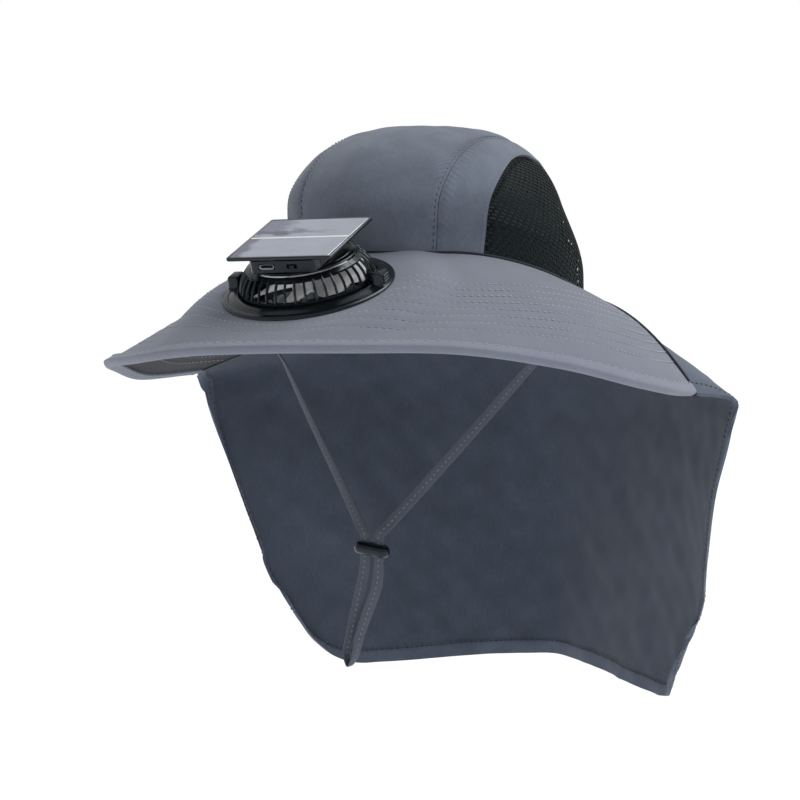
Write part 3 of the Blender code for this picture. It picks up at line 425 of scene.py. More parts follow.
class HatCloth(bpy.types.PropertyGroup):
    """Colours and sewing sizes of the cloth."""

    crown: bpy.props.FloatVectorProperty(
        name="Crown", description="Colour of the crown's cloth", subtype="COLOR", size=3,
        default=(0.133, 0.157, 0.203), min=0.0, max=1.0)
    brim: bpy.props.FloatVectorProperty(
        name="Brim", description="Colour of the brim's cloth and its tape", subtype="COLOR", size=3,
        default=(0.172, 0.191, 0.240), min=0.0, max=1.0)
    # The flap is the crown's cloth, darkened here as painted shade: its inner face hangs in shadow
    flap: bpy.props.FloatVectorProperty(
        name="Flap", description="Colour of the neck flap", subtype="COLOR", size=3,
        default=(0.064, 0.080, 0.112), min=0.0, max=1.0)
    net: bpy.props.FloatVectorProperty(
        name="Net", description="Colour of the side nets", subtype="COLOR", size=3,
        default=(0.0044, 0.0080, 0.0082), min=0.0, max=1.0)
    thread: bpy.props.FloatVectorProperty(
        name="Thread", description="Colour of the brim's stitches", subtype="COLOR", size=3,
        default=(0.360, 0.385, 0.445), min=0.0, max=1.0)
    row_first: bpy.props.FloatProperty(
        name="First row", description="From the brim's edge to the first stitched row", subtype="DISTANCE",
        unit="LENGTH", default=0.0235, min=0.0)
    row_pitch: bpy.props.FloatProperty(
        name="Row pitch", description="Between the brim's stitched rows", subtype="DISTANCE", unit="LENGTH",
        default=0.0088, min=0.002)
    row_count: bpy.props.IntProperty(name="Rows", description="Stitched rows on the brim", default=8, min=1)
    tape_width: bpy.props.FloatProperty(
        name="Tape width", description="Width of the tape round the brim's edge", subtype="DISTANCE",
        unit="LENGTH", default=0.0075, min=0.001)
    hem_width: bpy.props.FloatProperty(
        name="Hem width", description="Width of the flap's turned hem", subtype="DISTANCE", unit="LENGTH",
        default=0.0098, min=0.002)
    net_pitch: bpy.props.FloatProperty(
        name="Net pitch", description="From hole to hole along a row of the net", subtype="DISTANCE",
        unit="LENGTH", default=0.0044, min=0.001)


class HatFan(bpy.types.PropertyGroup):
    """Colours and counts of the fan."""

    plastic: bpy.props.FloatVectorProperty(
        name="Plastic", description="Colour of the fan's black plastic", subtype="COLOR", size=3,
        default=(0.0042, 0.0058, 0.0078), min=0.0, max=1.0)
    blade: bpy.props.FloatVectorProperty(
        name="Blade", description="Colour of the rotor", subtype="COLOR", size=3,
        default=(0.92, 0.94, 0.96), min=0.0, max=1.0)
    # The cells' light lavender colour is painted reflection of bright surroundings; the cells are dark
    # violet-blue
    cell: bpy.props.FloatVectorProperty(
        name="Cell", description="Colour of the solar cells", subtype="COLOR", size=3,
        default=(0.390, 0.425, 0.525), min=0.0, max=1.0)
    ribs: bpy.props.IntProperty(name="Ribs", description="Ribs round the cage", default=40, min=8)
    intake_ribs: bpy.props.IntProperty(
        name="Intake ribs", description="Ribs under the rotor", default=24, min=6)


class HatStage(bpy.types.PropertyGroup):
    """Floor, light and camera."""

    floor: bpy.props.FloatVectorProperty(
        name="Floor", description="Colour of the floor", subtype="COLOR", size=3,
        default=(0.97, 0.97, 0.98), min=0.0, max=1.0)
    sky: bpy.props.FloatProperty(
        name="Sky", description="Strength of the even light all round", default=0.50, min=0.0)
    backdrop: bpy.props.FloatProperty(
        name="Backdrop", description="Brightness of the backdrop", default=1.0, min=0.0)
    key: bpy.props.FloatProperty(
        name="Key light", description="Strength of the wide soft light above", default=2.36, min=0.0)


def smooth_step(value):
    """3v^2 - 2v^3 of the value held between 0 and 1."""
    value = np.clip(value, 0.0, 1.0)
    return value * value * (3.0 - 2.0 * value)


def bump_at(distance, width):
    """A rounded ridge, exp(-(distance / width)^2)."""
    return np.exp(-(distance / width) ** 2)


def smooth_table(place, places, values):
    """A smooth curve through a table's rows: the cubic whose slopes are those of its neighbours."""
    places = np.asarray(places, dtype=float)
    values = np.asarray(values, dtype=float)
    slopes = np.gradient(values, places)
    place = np.clip(place, places[0], places[-1])
    row = np.clip(np.searchsorted(places, place, side="right") - 1, 0, len(places) - 2)
    span = places[row + 1] - places[row]
    share = (place - places[row]) / span
    start = (1.0 + 2.0 * share) * (1.0 - share) ** 2 * values[row]
    end = share ** 2 * (3.0 - 2.0 * share) * values[row + 1]
    leave = share * (1.0 - share) ** 2 * span * slopes[row]
    arrive = share ** 2 * (share - 1.0) * span * slopes[row + 1]
    return start + end + leave + arrive


def soft_noise(u, v, wave, seed, waves=9):
    """A sum of sine waves of about one wavelength in seeded directions, between about -1 and 1."""
    draw = np.random.default_rng(seed)
    turns = draw.uniform(0, np.pi, waves)
    starts = draw.uniform(0, 6.28, waves)
    sizes = draw.uniform(0.7, 1.6, waves)
    total = 0.0
    for turn, start, size in zip(turns, starts, sizes):
        total = total + np.sin(2.0 * np.pi * (u * np.cos(turn) + v * np.sin(turn)) / (wave * size) + start)
    return total / (0.7 * waves)


def run_length(points, axis):
    """Distance run along a grid's lines, from 0 at their first point."""
    steps = np.linalg.norm(np.diff(points, axis=axis), axis=-1)
    first = np.zeros_like(np.take(steps, [0], axis=axis))
    return np.concatenate([first, np.cumsum(steps, axis=axis)], axis=axis)


def unit(vectors):
    """Vectors divided by their length."""
    return vectors / np.maximum(np.linalg.norm(vectors, axis=-1, keepdims=True), 1e-12)


def grid_normals(points):
    """The unit normal at each point of a grid: its step across crossed with its step down."""
    return unit(np.cross(np.gradient(points, axis=1), np.gradient(points, axis=0)))


def even_shares(count, edge=0.0):
    """Shares from 0 to 1, closer together at both ends: t - edge * sin(2 pi t) / (2 pi)."""
    t = np.linspace(0.0, 1.0, count)
    return t - edge * np.sin(2.0 * np.pi * t) / (2.0 * np.pi)


def grid_quads(rows, columns, closed=False):
    """Quads of a grid of points: each joins a point to its right, lower right and lower neighbours."""
    index = np.arange(rows * columns).reshape(rows, columns)
    right = np.roll(index, -1, axis=1)
    quads = np.stack([index[:-1], right[:-1], right[1:], index[1:]], axis=-1)
    if not closed:
        quads = quads[:, :-1]
    return quads


def wall_mesh(outer, inner, closed=False, kept=None):
    """Two skins and the strips between them, one for each edge that only one quad of the outer skin has."""
    rows, columns = outer.shape[:2]
    quads = grid_quads(rows, columns, closed)
    quads = quads.reshape(-1, 4) if kept is None else quads[kept]
    count = rows * columns
    start = quads.ravel()
    end = np.roll(quads, -1, axis=1).ravel()
    single = ~np.isin(start * count + end, end * count + start)
    start, end = start[single], end[single]
    strips = np.stack([end, start, start + count, end + count], axis=-1)
    faces = np.concatenate([quads, quads[:, ::-1] + count, strips])
    verts = np.concatenate([outer.reshape(-1, 3), inner.reshape(-1, 3)])
    return verts, faces


def tube_mesh(rings, closed=False):
    """Rings of points joined in a row: both ends get a fan of triangles, or the last ring joins the first."""
    count, corners = rings.shape[:2]
    quads = grid_quads(count, corners, True).reshape(-1, 4)
    verts = rings.reshape(-1, 3)
    if closed:
        last = np.arange(corners) + (count - 1) * corners
        first = np.arange(corners)
        joint = np.stack([last, np.roll(last, -1), np.roll(first, -1), first], axis=-1)
        return verts, np.concatenate([quads, joint])
    ends = np.stack([rings[0].mean(axis=0), rings[-1].mean(axis=0)])
    first = np.arange(corners)
    last = first + (count - 1) * corners
    top = np.stack([first, np.roll(first, -1), np.full(corners, len(verts))], axis=-1)[:, ::-1]
    bottom = np.stack([last, np.roll(last, -1), np.full(corners, len(verts) + 1)], axis=-1)
    return np.concatenate([verts, ends]), quads, top, bottom


def turned_mesh(profile, steps):
    """A closed profile of (radius, height) rows turned about the upright axis."""
    turn = np.linspace(0.0, 2.0 * np.pi, steps, endpoint=False)
    radius, height = np.asarray(profile, dtype=float).T
    x = np.cos(turn)[:, None] * radius
    y = np.sin(turn)[:, None] * radius
    rings = np.stack([x, y, height + 0.0 * x], axis=-1)
    return tube_mesh(rings, closed=True)


def slab_mesh(rows, steps=12):
    """Rounded rectangles stacked up: each row is half length, half width, corner radius and height, and each
    outline is its corners' centres plus the radius in every direction."""
    turn = np.linspace(0.0, 2.0 * np.pi, 4 * steps, endpoint=False) + np.pi / (4.0 * steps)
    along, across = np.cos(turn), np.sin(turn)
    rings = []
    for half_x, half_y, radius, height in rows:
        x = np.sign(along) * (half_x - radius) + along * radius
        y = np.sign(across) * (half_y - radius) + across * radius
        rings.append(np.stack([x, y, np.full_like(x, height)], axis=-1))
    return tube_mesh(np.array(rings))


def stitch_mesh(centre, along, up, sizes):
    """Short rounded stitches: each a spindle of two four-sided rings with pointed ends, set at its centre."""
    side = unit(np.cross(along, up))
    stations = np.array([
        # along, side and up, as shares of the stitch's length, width and height
        (-0.50, 0.0, -0.3),
        (-0.28, 0.5, 0.1), (-0.28, 0.0, 1.0), (-0.28, -0.5, 0.1), (-0.28, 0.0, -0.6),
        (0.28, 0.5, 0.1), (0.28, 0.0, 1.0), (0.28, -0.5, 0.1), (0.28, 0.0, -0.6),
        (0.50, 0.0, -0.3),
    ]) * sizes
    verts = centre[:, None] + along[:, None] * stations[None, :, :1]
    verts = verts + side[:, None] * stations[None, :, 1:2] + up[:, None] * stations[None, :, 2:]
    ring = np.arange(1, 5)
    after = np.roll(ring, -1)
    sides = np.stack([ring, after, after + 4, ring + 4], axis=-1)
    near = np.stack([np.zeros(4, int), after, ring], axis=-1)
    far = np.stack([np.full(4, 9), ring + 4, after + 4], axis=-1)
    shift = 10 * np.arange(len(centre))[:, None, None]
    quads = (sides[None] + shift).reshape(-1, 4)
    ends = (np.concatenate([near, far])[None] + shift).reshape(-1, 3)
    return verts.reshape(-1, 3), quads, ends


def stitch_row(path, normals, sewing, lift=STITCH_LIFT, kept=None):
    """Stitches along a path: one centre for each pitch, turned to the path and its surface normal."""
    pitch, *sizes = sewing
    run = run_length(path, 0)
    place = np.arange(0.5 * pitch, run[-1], pitch)
    centre, up, ahead, behind = [
        np.stack([np.interp(place + shift * pitch, run, line[:, axis]) for axis in range(3)], axis=-1)
        for line, shift in ((path, 0.0), (normals, 0.0), (path, 0.2), (path, -0.2))
    ]
    up = unit(up)
    along = unit(ahead - behind)
    if kept is not None:
        shown = kept(centre)
        centre, up, along = centre[shown], up[shown], along[shown]
    return stitch_mesh(centre + up * lift, along, up, sizes)


def joined(meshes):
    """Several closed meshes as one, each turned outwards, its faces counted on past the vertices before."""
    verts, faces, count = [], [], 0
    for mesh in map(outward, meshes):
        verts.append(mesh[0])
        faces += [part + count for part in mesh[1:]]
        count += len(mesh[0])
    return (np.concatenate(verts), *faces)


def outward(mesh):
    """The mesh with faces turned outwards: all are flipped where the signed volume is negative."""
    verts, *faces = mesh
    volume = 0.0
    for part in faces:
        for corner in range(2, part.shape[1]):
            a, b, c = verts[part[:, 0]], verts[part[:, corner - 1]], verts[part[:, corner]]
            volume += np.sum(a * np.cross(b, c))
    if volume < 0.0:
        faces = [part[:, ::-1] for part in faces]
    return (verts, *faces)


def add_piece(name, mesh, finish, body, replaced=(), smooth=40.0, lie=None):
    """Put a mesh into the scene as a piece that rides on a body, and hide the solids that it stands for."""
    verts, *faces = outward(mesh)
    data = bpy.data.meshes.new(name)
    data.from_pydata(verts.tolist(), [], [face for part in faces for face in part.tolist()])
    data.shade_smooth()
    data.set_sharp_from_angle(angle=math.radians(smooth))
    if lie is not None:
        layer = data.attributes.new("lie", "FLOAT_VECTOR", "POINT")
        layer.data.foreach_set("vector", np.ascontiguousarray(lie, dtype=np.float32).ravel())
    data.validate()
    piece = bpy.data.objects.new(name, data)
    bpy.context.scene.collection.objects.link(piece)
    data.materials.append(finish)
    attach(piece, body)
    if replaced:
        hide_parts(*replaced)
    return piece


def lie_of(outer, sides=2, mask=None):
    """Where each point lies on the cloth: metres across, metres down and a mask, the same for each skin."""
    down = run_length(outer, 0)
    across = run_length(outer, 1)
    mask = np.zeros_like(down) if mask is None else mask
    flat = np.stack([across, down, mask], axis=-1).reshape(-1, 3)
    return np.concatenate([flat] * sides)


def lining_and_painted_shade(outer):
    """The cloth coordinates of a two-skin piece whose mask is 0 outside and 1 on the inner skin: the brim's
    dark lining, and painted shade inside the crown.
    """
    plain = np.zeros(outer.shape[:2])
    return np.concatenate([lie_of(outer, 1, plain), lie_of(outer, 1, plain + 1.0)])


class Value:
    """A socket's value in a sum: each operator adds its Math node and gives that node's value."""

    def __init__(self, finish, socket):
        self.finish = finish
        self.socket = socket

    def __add__(self, other):
        return self.finish.maths("ADD", self, other)

    def __sub__(self, other):
        return self.finish.maths("SUBTRACT", self, other)

    def __mul__(self, other):
        return self.finish.maths("MULTIPLY", self, other)

    def __radd__(self, other):
        return self.finish.maths("ADD", other, self)

    def __rsub__(self, other):
        return self.finish.maths("SUBTRACT", other, self)

    def __rmul__(self, other):
        return self.finish.maths("MULTIPLY", other, self)


class Finish:
    """A material being made: the shader's constant sockets, then the nodes that vary over the surface."""

    def __init__(self, name, **constants):
        self.material = bpy.data.materials.new(name)
        self.material.use_nodes = True
        self.tree = self.material.node_tree
        self.shader = self.tree.nodes["Principled BSDF"]
        self.drive(**constants)

    def feed(self, socket, value):
        """Link a value to a socket, or set the socket to a number or colour."""
        if isinstance(value, Value):
            self.tree.links.new(value.socket, socket)
        elif socket.type == "RGBA":
            socket.default_value = (*value, 1.0)
        else:
            socket.default_value = value

    def node(self, kind, settings=None, values=None, output=0):
        """A node of one type: its settings, then its sockets' values or links, and one output's value."""
        made = self.tree.nodes.new(kind)
        for name, setting in (settings or {}).items():
            setattr(made, name, setting)
        for name, value in (values or {}).items():
            self.feed(made.inputs[name], value)
        return Value(self, made.outputs[output])

    def maths(self, operation, *values):
        """A Math node's value."""
        return self.node("ShaderNodeMath", {"operation": operation}, dict(enumerate(values)))

    def sine(self, value):
        return self.maths("SINE", value)

    def held(self, value):
        """The value kept between 0 and 1."""
        return self.node("ShaderNodeClamp", None, {"Value": value})

    def mix(self, share, first, last):
        """Colour first where share is 0, last where it is 1."""
        settings = {"data_type": "RGBA"}
        return self.node("ShaderNodeMix", settings, {0: share, 6: first, 7: last}, 2)

    def noise(self, scale, detail=3.0, stretch=(1.0, 1.0, 1.0), rough=0.55):
        """Noise from Object coordinates in metres, stretched along an axis if wanted."""
        place = self.node("ShaderNodeTexCoord", None, None, "Object")
        place = self.node("ShaderNodeMapping", None, {"Vector": place, "Scale": stretch})
        values = {"Vector": place, "Scale": scale, "Detail": detail, "Roughness": rough}
        return self.node("ShaderNodeTexNoise", {"noise_dimensions": "3D"}, values)

    def lie(self):
        """The cloth's own coordinates: metres across, metres down, mask."""
        place = self.node("ShaderNodeAttribute", {"attribute_name": "lie"}, None, "Vector")
        parts = self.tree.nodes.new("ShaderNodeSeparateXYZ")
        self.feed(parts.inputs[0], place)
        return [Value(self, output) for output in parts.outputs]

    def drive(self, **values):
        """Feed the shader's sockets, named with _ for each space."""
        for words, value in values.items():
            self.feed(self.shader.inputs[words.replace("_", " ")], value)

    def bump(self, height, depth, strength=1.0):
        """Feed Normal from a height between 0 and 1 that stands for a depth in metres."""
        values = {"Height": height, "Distance": depth, "Strength": strength}
        self.drive(Normal=self.node("ShaderNodeBump", None, values))


def shade(colour, factor):
    """A colour made lighter or darker."""
    return tuple(min(1.0, part * factor) for part in colour)


def cloth_finish(name, colour, contrast=0.16, weave=0.00055, mask_shade=1.12, cloudy=0.9):
    """Woven cloth: crossed threads as sine waves of its own coordinates, cloudy tone, and a lighter or darker
    colour where the mask is 1: the brim's dark lining, the flap's outer face and hem, and painted shade on
    the crown's inner skin."""
    finish = Finish(name, Roughness=0.88, Sheen_Weight=0.18, Sheen_Roughness=0.5, Specular_IOR_Level=0.25)
    across, down, mask = finish.lie()
    turn = 2.0 * math.pi / weave
    thread = finish.sine(across * turn) * finish.sine(down * turn)
    twill = finish.sine((across + down) * (0.5 * turn))
    cloud = finish.noise(60.0, 5.0)
    grain = finish.noise(900.0, 2.0, (1.0, 1.0, 0.35))
    tone = finish.held(0.5 + (cloud - 0.5) * cloudy + (grain - 0.5) + thread * 0.10 + twill * 0.05)
    dark, light = 1.0 - contrast, 1.0 + contrast
    plain = finish.mix(tone, shade(colour, dark), shade(colour, light))
    masked = finish.mix(tone, shade(colour, mask_shade * dark), shade(colour, mask_shade * light))
    finish.drive(Base_Color=finish.mix(mask, plain, masked))
    finish.bump(0.5 + thread * 0.3 + twill * 0.15 + (grain - 0.5) * 0.5, 0.00012, 0.7)
    return finish.material


def thread_finish(name, colour):
    """Sewing thread: fine light and dark strands."""
    finish = Finish(name, Roughness=0.7, Sheen_Weight=0.3)
    strands = finish.noise(2600.0, 2.0)
    finish.drive(Base_Color=finish.mix(strands, shade(colour, 0.75), shade(colour, 1.2)))
    finish.bump(strands, 0.00008, 0.6)
    return finish.material


def net_finish(name, colour):
    """Polyester net: dark, slightly green strands, lighter in places and with little gloss."""
    finish = Finish(name, Roughness=0.60, Specular_IOR_Level=0.12)
    strands = finish.noise(1500.0, 3.0)
    finish.drive(Base_Color=finish.mix(strands, shade(colour, 0.6), shade(colour, 2.4)))
    finish.bump(strands, 0.0002, 0.8)
    return finish.material


def plastic_finish(name, colour, rough=0.20, coat=0.12):
    """Moulded plastic: a cloudy, uneven gloss and a fine moulding grain."""
    # the bluish Specular Tint is painted reflection: it colours the plastic's reflections of the white room
    # blue
    finish = Finish(name, Coat_Weight=coat, Coat_Roughness=0.10, IOR=1.5, Specular_IOR_Level=0.35,
                    Specular_Tint=(0.72, 0.86, 1.0))
    cloud = finish.noise(120.0, 4.0)
    grain = finish.noise(2200.0, 2.0)
    finish.drive(Roughness=finish.held(rough + (cloud - 0.5) * 0.22 + (grain - 0.5) * 0.08))
    finish.drive(Base_Color=finish.mix(cloud, shade(colour, 0.8), shade(colour, 1.25)))
    finish.bump(grain, 0.00004, 0.35)
    return finish.material


def metal_finish(name, colour, rough=0.28, metallic=1.0):
    """Bright metal, or fired silver paste at metallic 0, with fine marks along the bar."""
    finish = Finish(name, Metallic=metallic)
    marks = finish.noise(1400.0, 3.0, (0.08, 1.0, 1.0))
    finish.drive(Roughness=finish.held(rough + (marks - 0.5) * 0.25))
    finish.drive(Base_Color=finish.mix(marks, shade(colour, 0.85), shade(colour, 1.1)))
    finish.bump(marks, 0.00003, 0.3)
    return finish.material


def cell_finish(name, colour):
    """Solar cells under clear resin: fine bright fingers, a light lavender colour that is painted reflection
    of bright surroundings, a dark violet-blue band behind the bar, a corner and the left edge with cloudy
    borders that are painted reflection of darker things, and a smooth coat."""
    finish = Finish(name, Metallic=0.30, Coat_Weight=0.8, Coat_Roughness=0.05, Coat_IOR=1.5)
    across, down, _ = finish.lie()
    finger = finish.held(finish.sine(across * (2.0 * math.pi / CELL_FINGER)) * 6.0 - 5.0)
    cloud = finish.noise(70.0, 4.0, (1.0, 2.2, 1.0))
    wander = (cloud - 0.5) * 0.018
    near, far, right = CELL_DARK_REFLECTION_BAND
    band = finish.held((down + wander - near) * 400.0) * finish.held((far + wander - down) * 400.0)
    band = band * finish.held((right + wander - across) * 45.0)
    right, near = CELL_DARK_REFLECTION_CORNER
    corner = finish.held((right + wander - across) * 200.0) * finish.held((down + wander - near) * 300.0)
    right, far = CELL_DARK_REFLECTION_LEFT
    left = finish.held((right + wander * 0.6 - across) * 300.0) * finish.held((far - down) * 200.0)
    # painted reflection: the cells go dark violet-blue in a band, a corner and along the left edge
    dark = finish.held(band * 0.75 + corner * 0.7 + left * 0.85)
    cell = finish.mix(finish.held(cloud * 2.4 - 0.8), colour, shade(colour, 0.86))
    cell = finish.mix(finger * 0.25, cell, shade(colour, 1.35))
    finish.drive(Base_Color=finish.mix(dark, cell, (0.050, 0.062, 0.150)))
    finish.drive(Roughness=finish.held(0.26 + (cloud - 0.5) * 0.10))
    return finish.material


def unit_dome(direction):
    """A direction scaled to length (level^p + up^p)^(-1/p), which puts it on a squared dome of unit size."""
    level = np.hypot(direction[..., 0], direction[..., 1])
    power = CROWN_SQUARENESS
    reach = (level ** power + np.abs(direction[..., 2]) ** power) ** (-1.0 / power)
    return direction * reach[..., None]


def seam_drop(azimuth):
    """The crown's seam sinks by SEAM_DROP from the forehead to the back, as a smooth step of the angle."""
    turned = np.degrees(np.abs(azimuth))
    return SEAM_DROP * smooth_step((turned - SEAM_DROP_START) / (SEAM_DROP_END - SEAM_DROP_START))


def crown_points(direction, inset=0.0):
    """The dome's unit point times the crown's half width, length and height, leant forward as it rises,
    with its foot lowered by (1 - up)^2 of the seam's drop."""
    point = unit_dome(direction)
    azimuth = np.arctan2(point[..., 0], -point[..., 1])
    up = point[..., 2]
    risen = smooth_step((up - DOME_LEAN_START) / (DOME_LEAN_END - DOME_LEAN_START))
    half_length = CROWN_HALF_LENGTH + (DOME_HALF_LENGTH - CROWN_HALF_LENGTH) * risen
    x = point[..., 0] * (CROWN_HALF_WIDTH - inset)
    y = point[..., 1] * (half_length - inset) - DOME_LEAN * risen
    z = up * (CROWN_HEIGHT - inset) - (1.0 - up) ** 2 * (seam_drop(azimuth) + BRIM_WALL)
    return np.stack([x, y, z], axis=-1)


def dome_direction(azimuth, rise):
    """The direction (cos rise sin azimuth, -cos rise cos azimuth, sin rise)."""
    azimuth, rise = np.broadcast_arrays(azimuth, rise)
    level = np.cos(rise)
    return np.stack([level * np.sin(azimuth), -level * np.cos(azimuth), np.sin(rise)], axis=-1)


def strip_seam(turn, gap):
    """The seam between centre strip and side: the plane x = STRIP_LEAN of directions (lean, -cos, sin)."""
    lean = STRIP_LEAN + gap + 0.0 * turn
    return unit_dome(np.stack([lean, -np.cos(turn), np.sin(turn)], axis=-1))


def vent_arch(share, widen):
    """The net's arched edge: azimuth middle - half cos(pi share), rise VENT_RISE sin(pi share)."""
    turn = np.pi * share
    azimuth = np.radians(VENT_MIDDLE) - (np.radians(VENT_HALF) + widen) * np.cos(turn)
    rise = (np.radians(VENT_RISE) + widen) * np.sin(turn)
    return unit_dome(dome_direction(azimuth, rise))


def panel(first, last, shares):
    """Directions across a panel, first * (1 - share) + last * share."""
    shares = shares[:, None, None]
    return (1.0 - shares) * first[None] + shares * last[None]


def puckers(along, distance, pitch, depth, reach, seed):
    """Gathers beside a seam: a wave along it that dies away from it, exp(-distance / reach) sin(2 pi along /
    pitch), with an uneven phase and size."""
    wander = 0.9 * soft_noise(along, 0.0 * along, 0.030, seed, 5)
    size = 0.65 + 0.5 * soft_noise(along, 0.0 * along, 0.045, seed + 1, 5)
    wave = np.sin(2.0 * np.pi * along / pitch + wander)
    return depth * size * wave * np.exp(-distance / reach) * (1.0 - np.exp(-distance / (0.3 * reach)))


def crown_relief(outer, seams, risen, gather):
    """How far a crown panel lies in from the smooth dome: a valley at each seam, gathers beside it, and slow
    soft creases that run on from panel to panel."""
    across = run_length(outer, 0)
    along = run_length(outer, 1)
    level, tall = outer[..., 0] + 0.3 * outer[..., 2], outer[..., 1] - 0.4 * outer[..., 2]
    relief = CROWN_WAVE[0] * soft_noise(level, tall, CROWN_WAVE[1], 3)
    relief = relief + CROWN_CREASE[0] * soft_noise(level, tall, CROWN_CREASE[1], 8)
    depth, pitch = CROWN_GATHER
    for number, distance in enumerate(seams(across)):
        relief = relief * (1.0 - bump_at(distance, 0.004)) + SEAM_VALLEY * bump_at(distance, 0.0022)
        gathers = puckers(along + 0.8 * distance, distance, pitch, depth, GATHER_REACH, 20 + 3 * number)
        relief = relief + gather * gathers
    return relief * risen


def rows_at(outer, distances, sewing):
    """Stitches along the grid lines nearest to some distances from the first, or, if negative, the last."""
    across = np.median(run_length(outer, 0), axis=1)
    normals = grid_normals(outer)
    normals = normals * np.sign(np.sum(normals * (outer - CROWN_MIDDLE), axis=-1, keepdims=True))
    rows = [np.argmin(np.abs(across - (place if place > 0.0 else across[-1] + place))) for place in distances]
    return [stitch_row(outer[row], normals[row], sewing) for row in rows]


def brim_front():
    """The y of the brim's front edge."""
    return -(CROWN_HALF_LENGTH + BRIM_REACH)


def brim_slope():
    """The angle of the brim's front line below level."""
    share = np.interp(0.0, BRIM_EDGE_ROWS[:, 0], BRIM_EDGE_ROWS[:, 1])
    return math.atan2(share * BRIM_DROP, BRIM_REACH)


def fan_seat():
    """The fan's centre on the brim, FAN_REACH down its slope from the crown."""
    slope = brim_slope()
    forward = CROWN_HALF_LENGTH + FAN_REACH * math.cos(slope)
    return np.array([0.0, -forward, -FAN_REACH * math.sin(slope)])


def brim_edge(angle):
    """The edge: a squared oval in front, an oval behind, lowered by the table of the edge's drop."""
    sine, cosine = np.sin(angle), np.cos(angle)
    power = BRIM_SQUARENESS
    shrink = (np.abs(sine) ** power + np.abs(cosine) ** power) ** (-1.0 / power)
    shrink = np.where(cosine > 0.0, shrink, 1.0)
    drop = BRIM_DROP * smooth_table(np.degrees(angle), BRIM_EDGE_ROWS[:, 0], BRIM_EDGE_ROWS[:, 1])
    x = BRIM_HALF_WIDTH * sine * shrink
    y = brim_front() + BRIM_WAIST - BRIM_WAIST * cosine * shrink
    return np.stack([x, y, -drop], axis=-1)


def brim_points(azimuth, out):
    """Straight from the crown's foot to the edge, plus 4 out (1 - out) of the arch, level round the fan."""
    azimuth, out = np.broadcast_arrays(azimuth, out)
    foot = crown_points(dome_direction(azimuth, 0.0 * azimuth), -TOUCH)
    foot[..., 2] = -seam_drop(azimuth)
    edge = brim_edge(azimuth * BRIM_OUTER_END / BRIM_INNER_END)
    points = foot + (edge - foot) * out[..., None]
    side = smooth_step((np.degrees(azimuth) - BRIM_ARCH_START) / (BRIM_ARCH_FULL - BRIM_ARCH_START))
    points[..., 2] += BRIM_ARCH * side * 4.0 * out * (1.0 - out)
    seat = fan_seat()
    plane = seat[2] + math.tan(brim_slope()) * (points[..., 1] - seat[1])
    away = np.hypot(points[..., 0] - seat[0], points[..., 1] - seat[1])
    flat = smooth_step((SEAT_BLEND_RADIUS - away) / (SEAT_BLEND_RADIUS - SEAT_FLAT_RADIUS))
    points[..., 2] += (plane - points[..., 2]) * flat
    return points


def brim_reach(azimuth):
    """The straight distance from the crown's foot to the brim's edge."""
    return np.linalg.norm(brim_points(azimuth, 1.0) - brim_points(azimuth, 0.0), axis=-1)


def brim_line(azimuth, distance, depth=0.0):
    """The line at a distance in from the brim's edge and a depth under its face, with its normals."""
    steps = distance + np.array([0.0005, 0.0, -0.0005])
    patch = brim_points(azimuth[None], 1.0 - steps[:, None] / brim_reach(azimuth))
    normals = -grid_normals(patch)[1]
    return patch[1] - normals * depth, normals


def flap_seam(across):
    """Round the crown's back, then off the brim's back edge by the flap's wall."""
    share = np.abs(across)
    end = math.radians(BRIM_INNER_END)
    clear = FLAP_WALL + PIECE_GAP
    back = math.pi - end - clear / CROWN_HALF_WIDTH
    azimuth = math.pi - back * np.clip(share / FLAP_CROWN_SHARE, 0.0, 1.0)
    crown = crown_points(dome_direction(azimuth, 0.0), -clear)
    crown[..., 2] += BRIM_WALL
    out = np.clip((share - FLAP_CROWN_SHARE) / (1.0 - FLAP_CROWN_SHARE), 0.0, 1.0)
    edge = brim_points(end, out)
    brim = edge + unit(brim_points(end + 0.01, out) - edge) * clear
    points = np.where((share > FLAP_CROWN_SHARE)[..., None], brim, crown)
    points[..., 0] *= np.sign(across)
    return points


def flap_points(across, down):
    """The flap: x = width sin(pi/2 across)^0.9, y and z between front edge and back by 1 - |x|^roundness,
    with folds, all let go from the seam within the first table row."""
    columns = FLAP_ROWS.T
    shares = [smooth_table(down, columns[0], column) for column in columns[1:]]
    edge_x, edge_y, edge_z, back_y, back_z, roundness = shares
    share = np.abs(across)
    half = FLAP_HALF_WIDTH * edge_x
    x = half * np.sin(share * np.pi / 2.0) ** FLAP_SPREAD_POWER * np.sign(across)
    width = np.clip(np.abs(x) / half, 0.0, 1.0)
    y = FLAP_DEPTH * (edge_y + (back_y - edge_y) * (1.0 - width ** roundness))
    sideways = width ** FLAP_SLOPE_POWER
    start = -SEAM_DROP + (SEAM_DROP - BRIM_DROP) * sideways
    z = start - FLAP_LENGTH * (back_z + (edge_z - back_z) * sideways)
    fold = sum(depth * np.exp(-((across - middle) / spread) ** 2) for middle, spread, depth in FLAP_FOLD_ROWS)
    outward_by = FLAP_FOLD_DEPTH * fold * smooth_step(down)
    y = y + outward_by * (1.0 - width)
    x = x + outward_by * width * np.sign(across)
    let_go = smooth_step(down / FLAP_ROWS[1, 0])[..., None]
    return flap_seam(across) * (1.0 - let_go) + np.stack([x, y, z], axis=-1) * let_go


def flap_end(across):
    """How far down the cloth reaches, with rounded lower corners."""
    past = np.clip((np.abs(across) - (1.0 - FLAP_CORNER_WIDTH)) / FLAP_CORNER_WIDTH, 0.0, 1.0)
    return 1.0 - FLAP_CORNER_RISE * (1.0 - np.sqrt(1.0 - 0.98 * past ** 2))


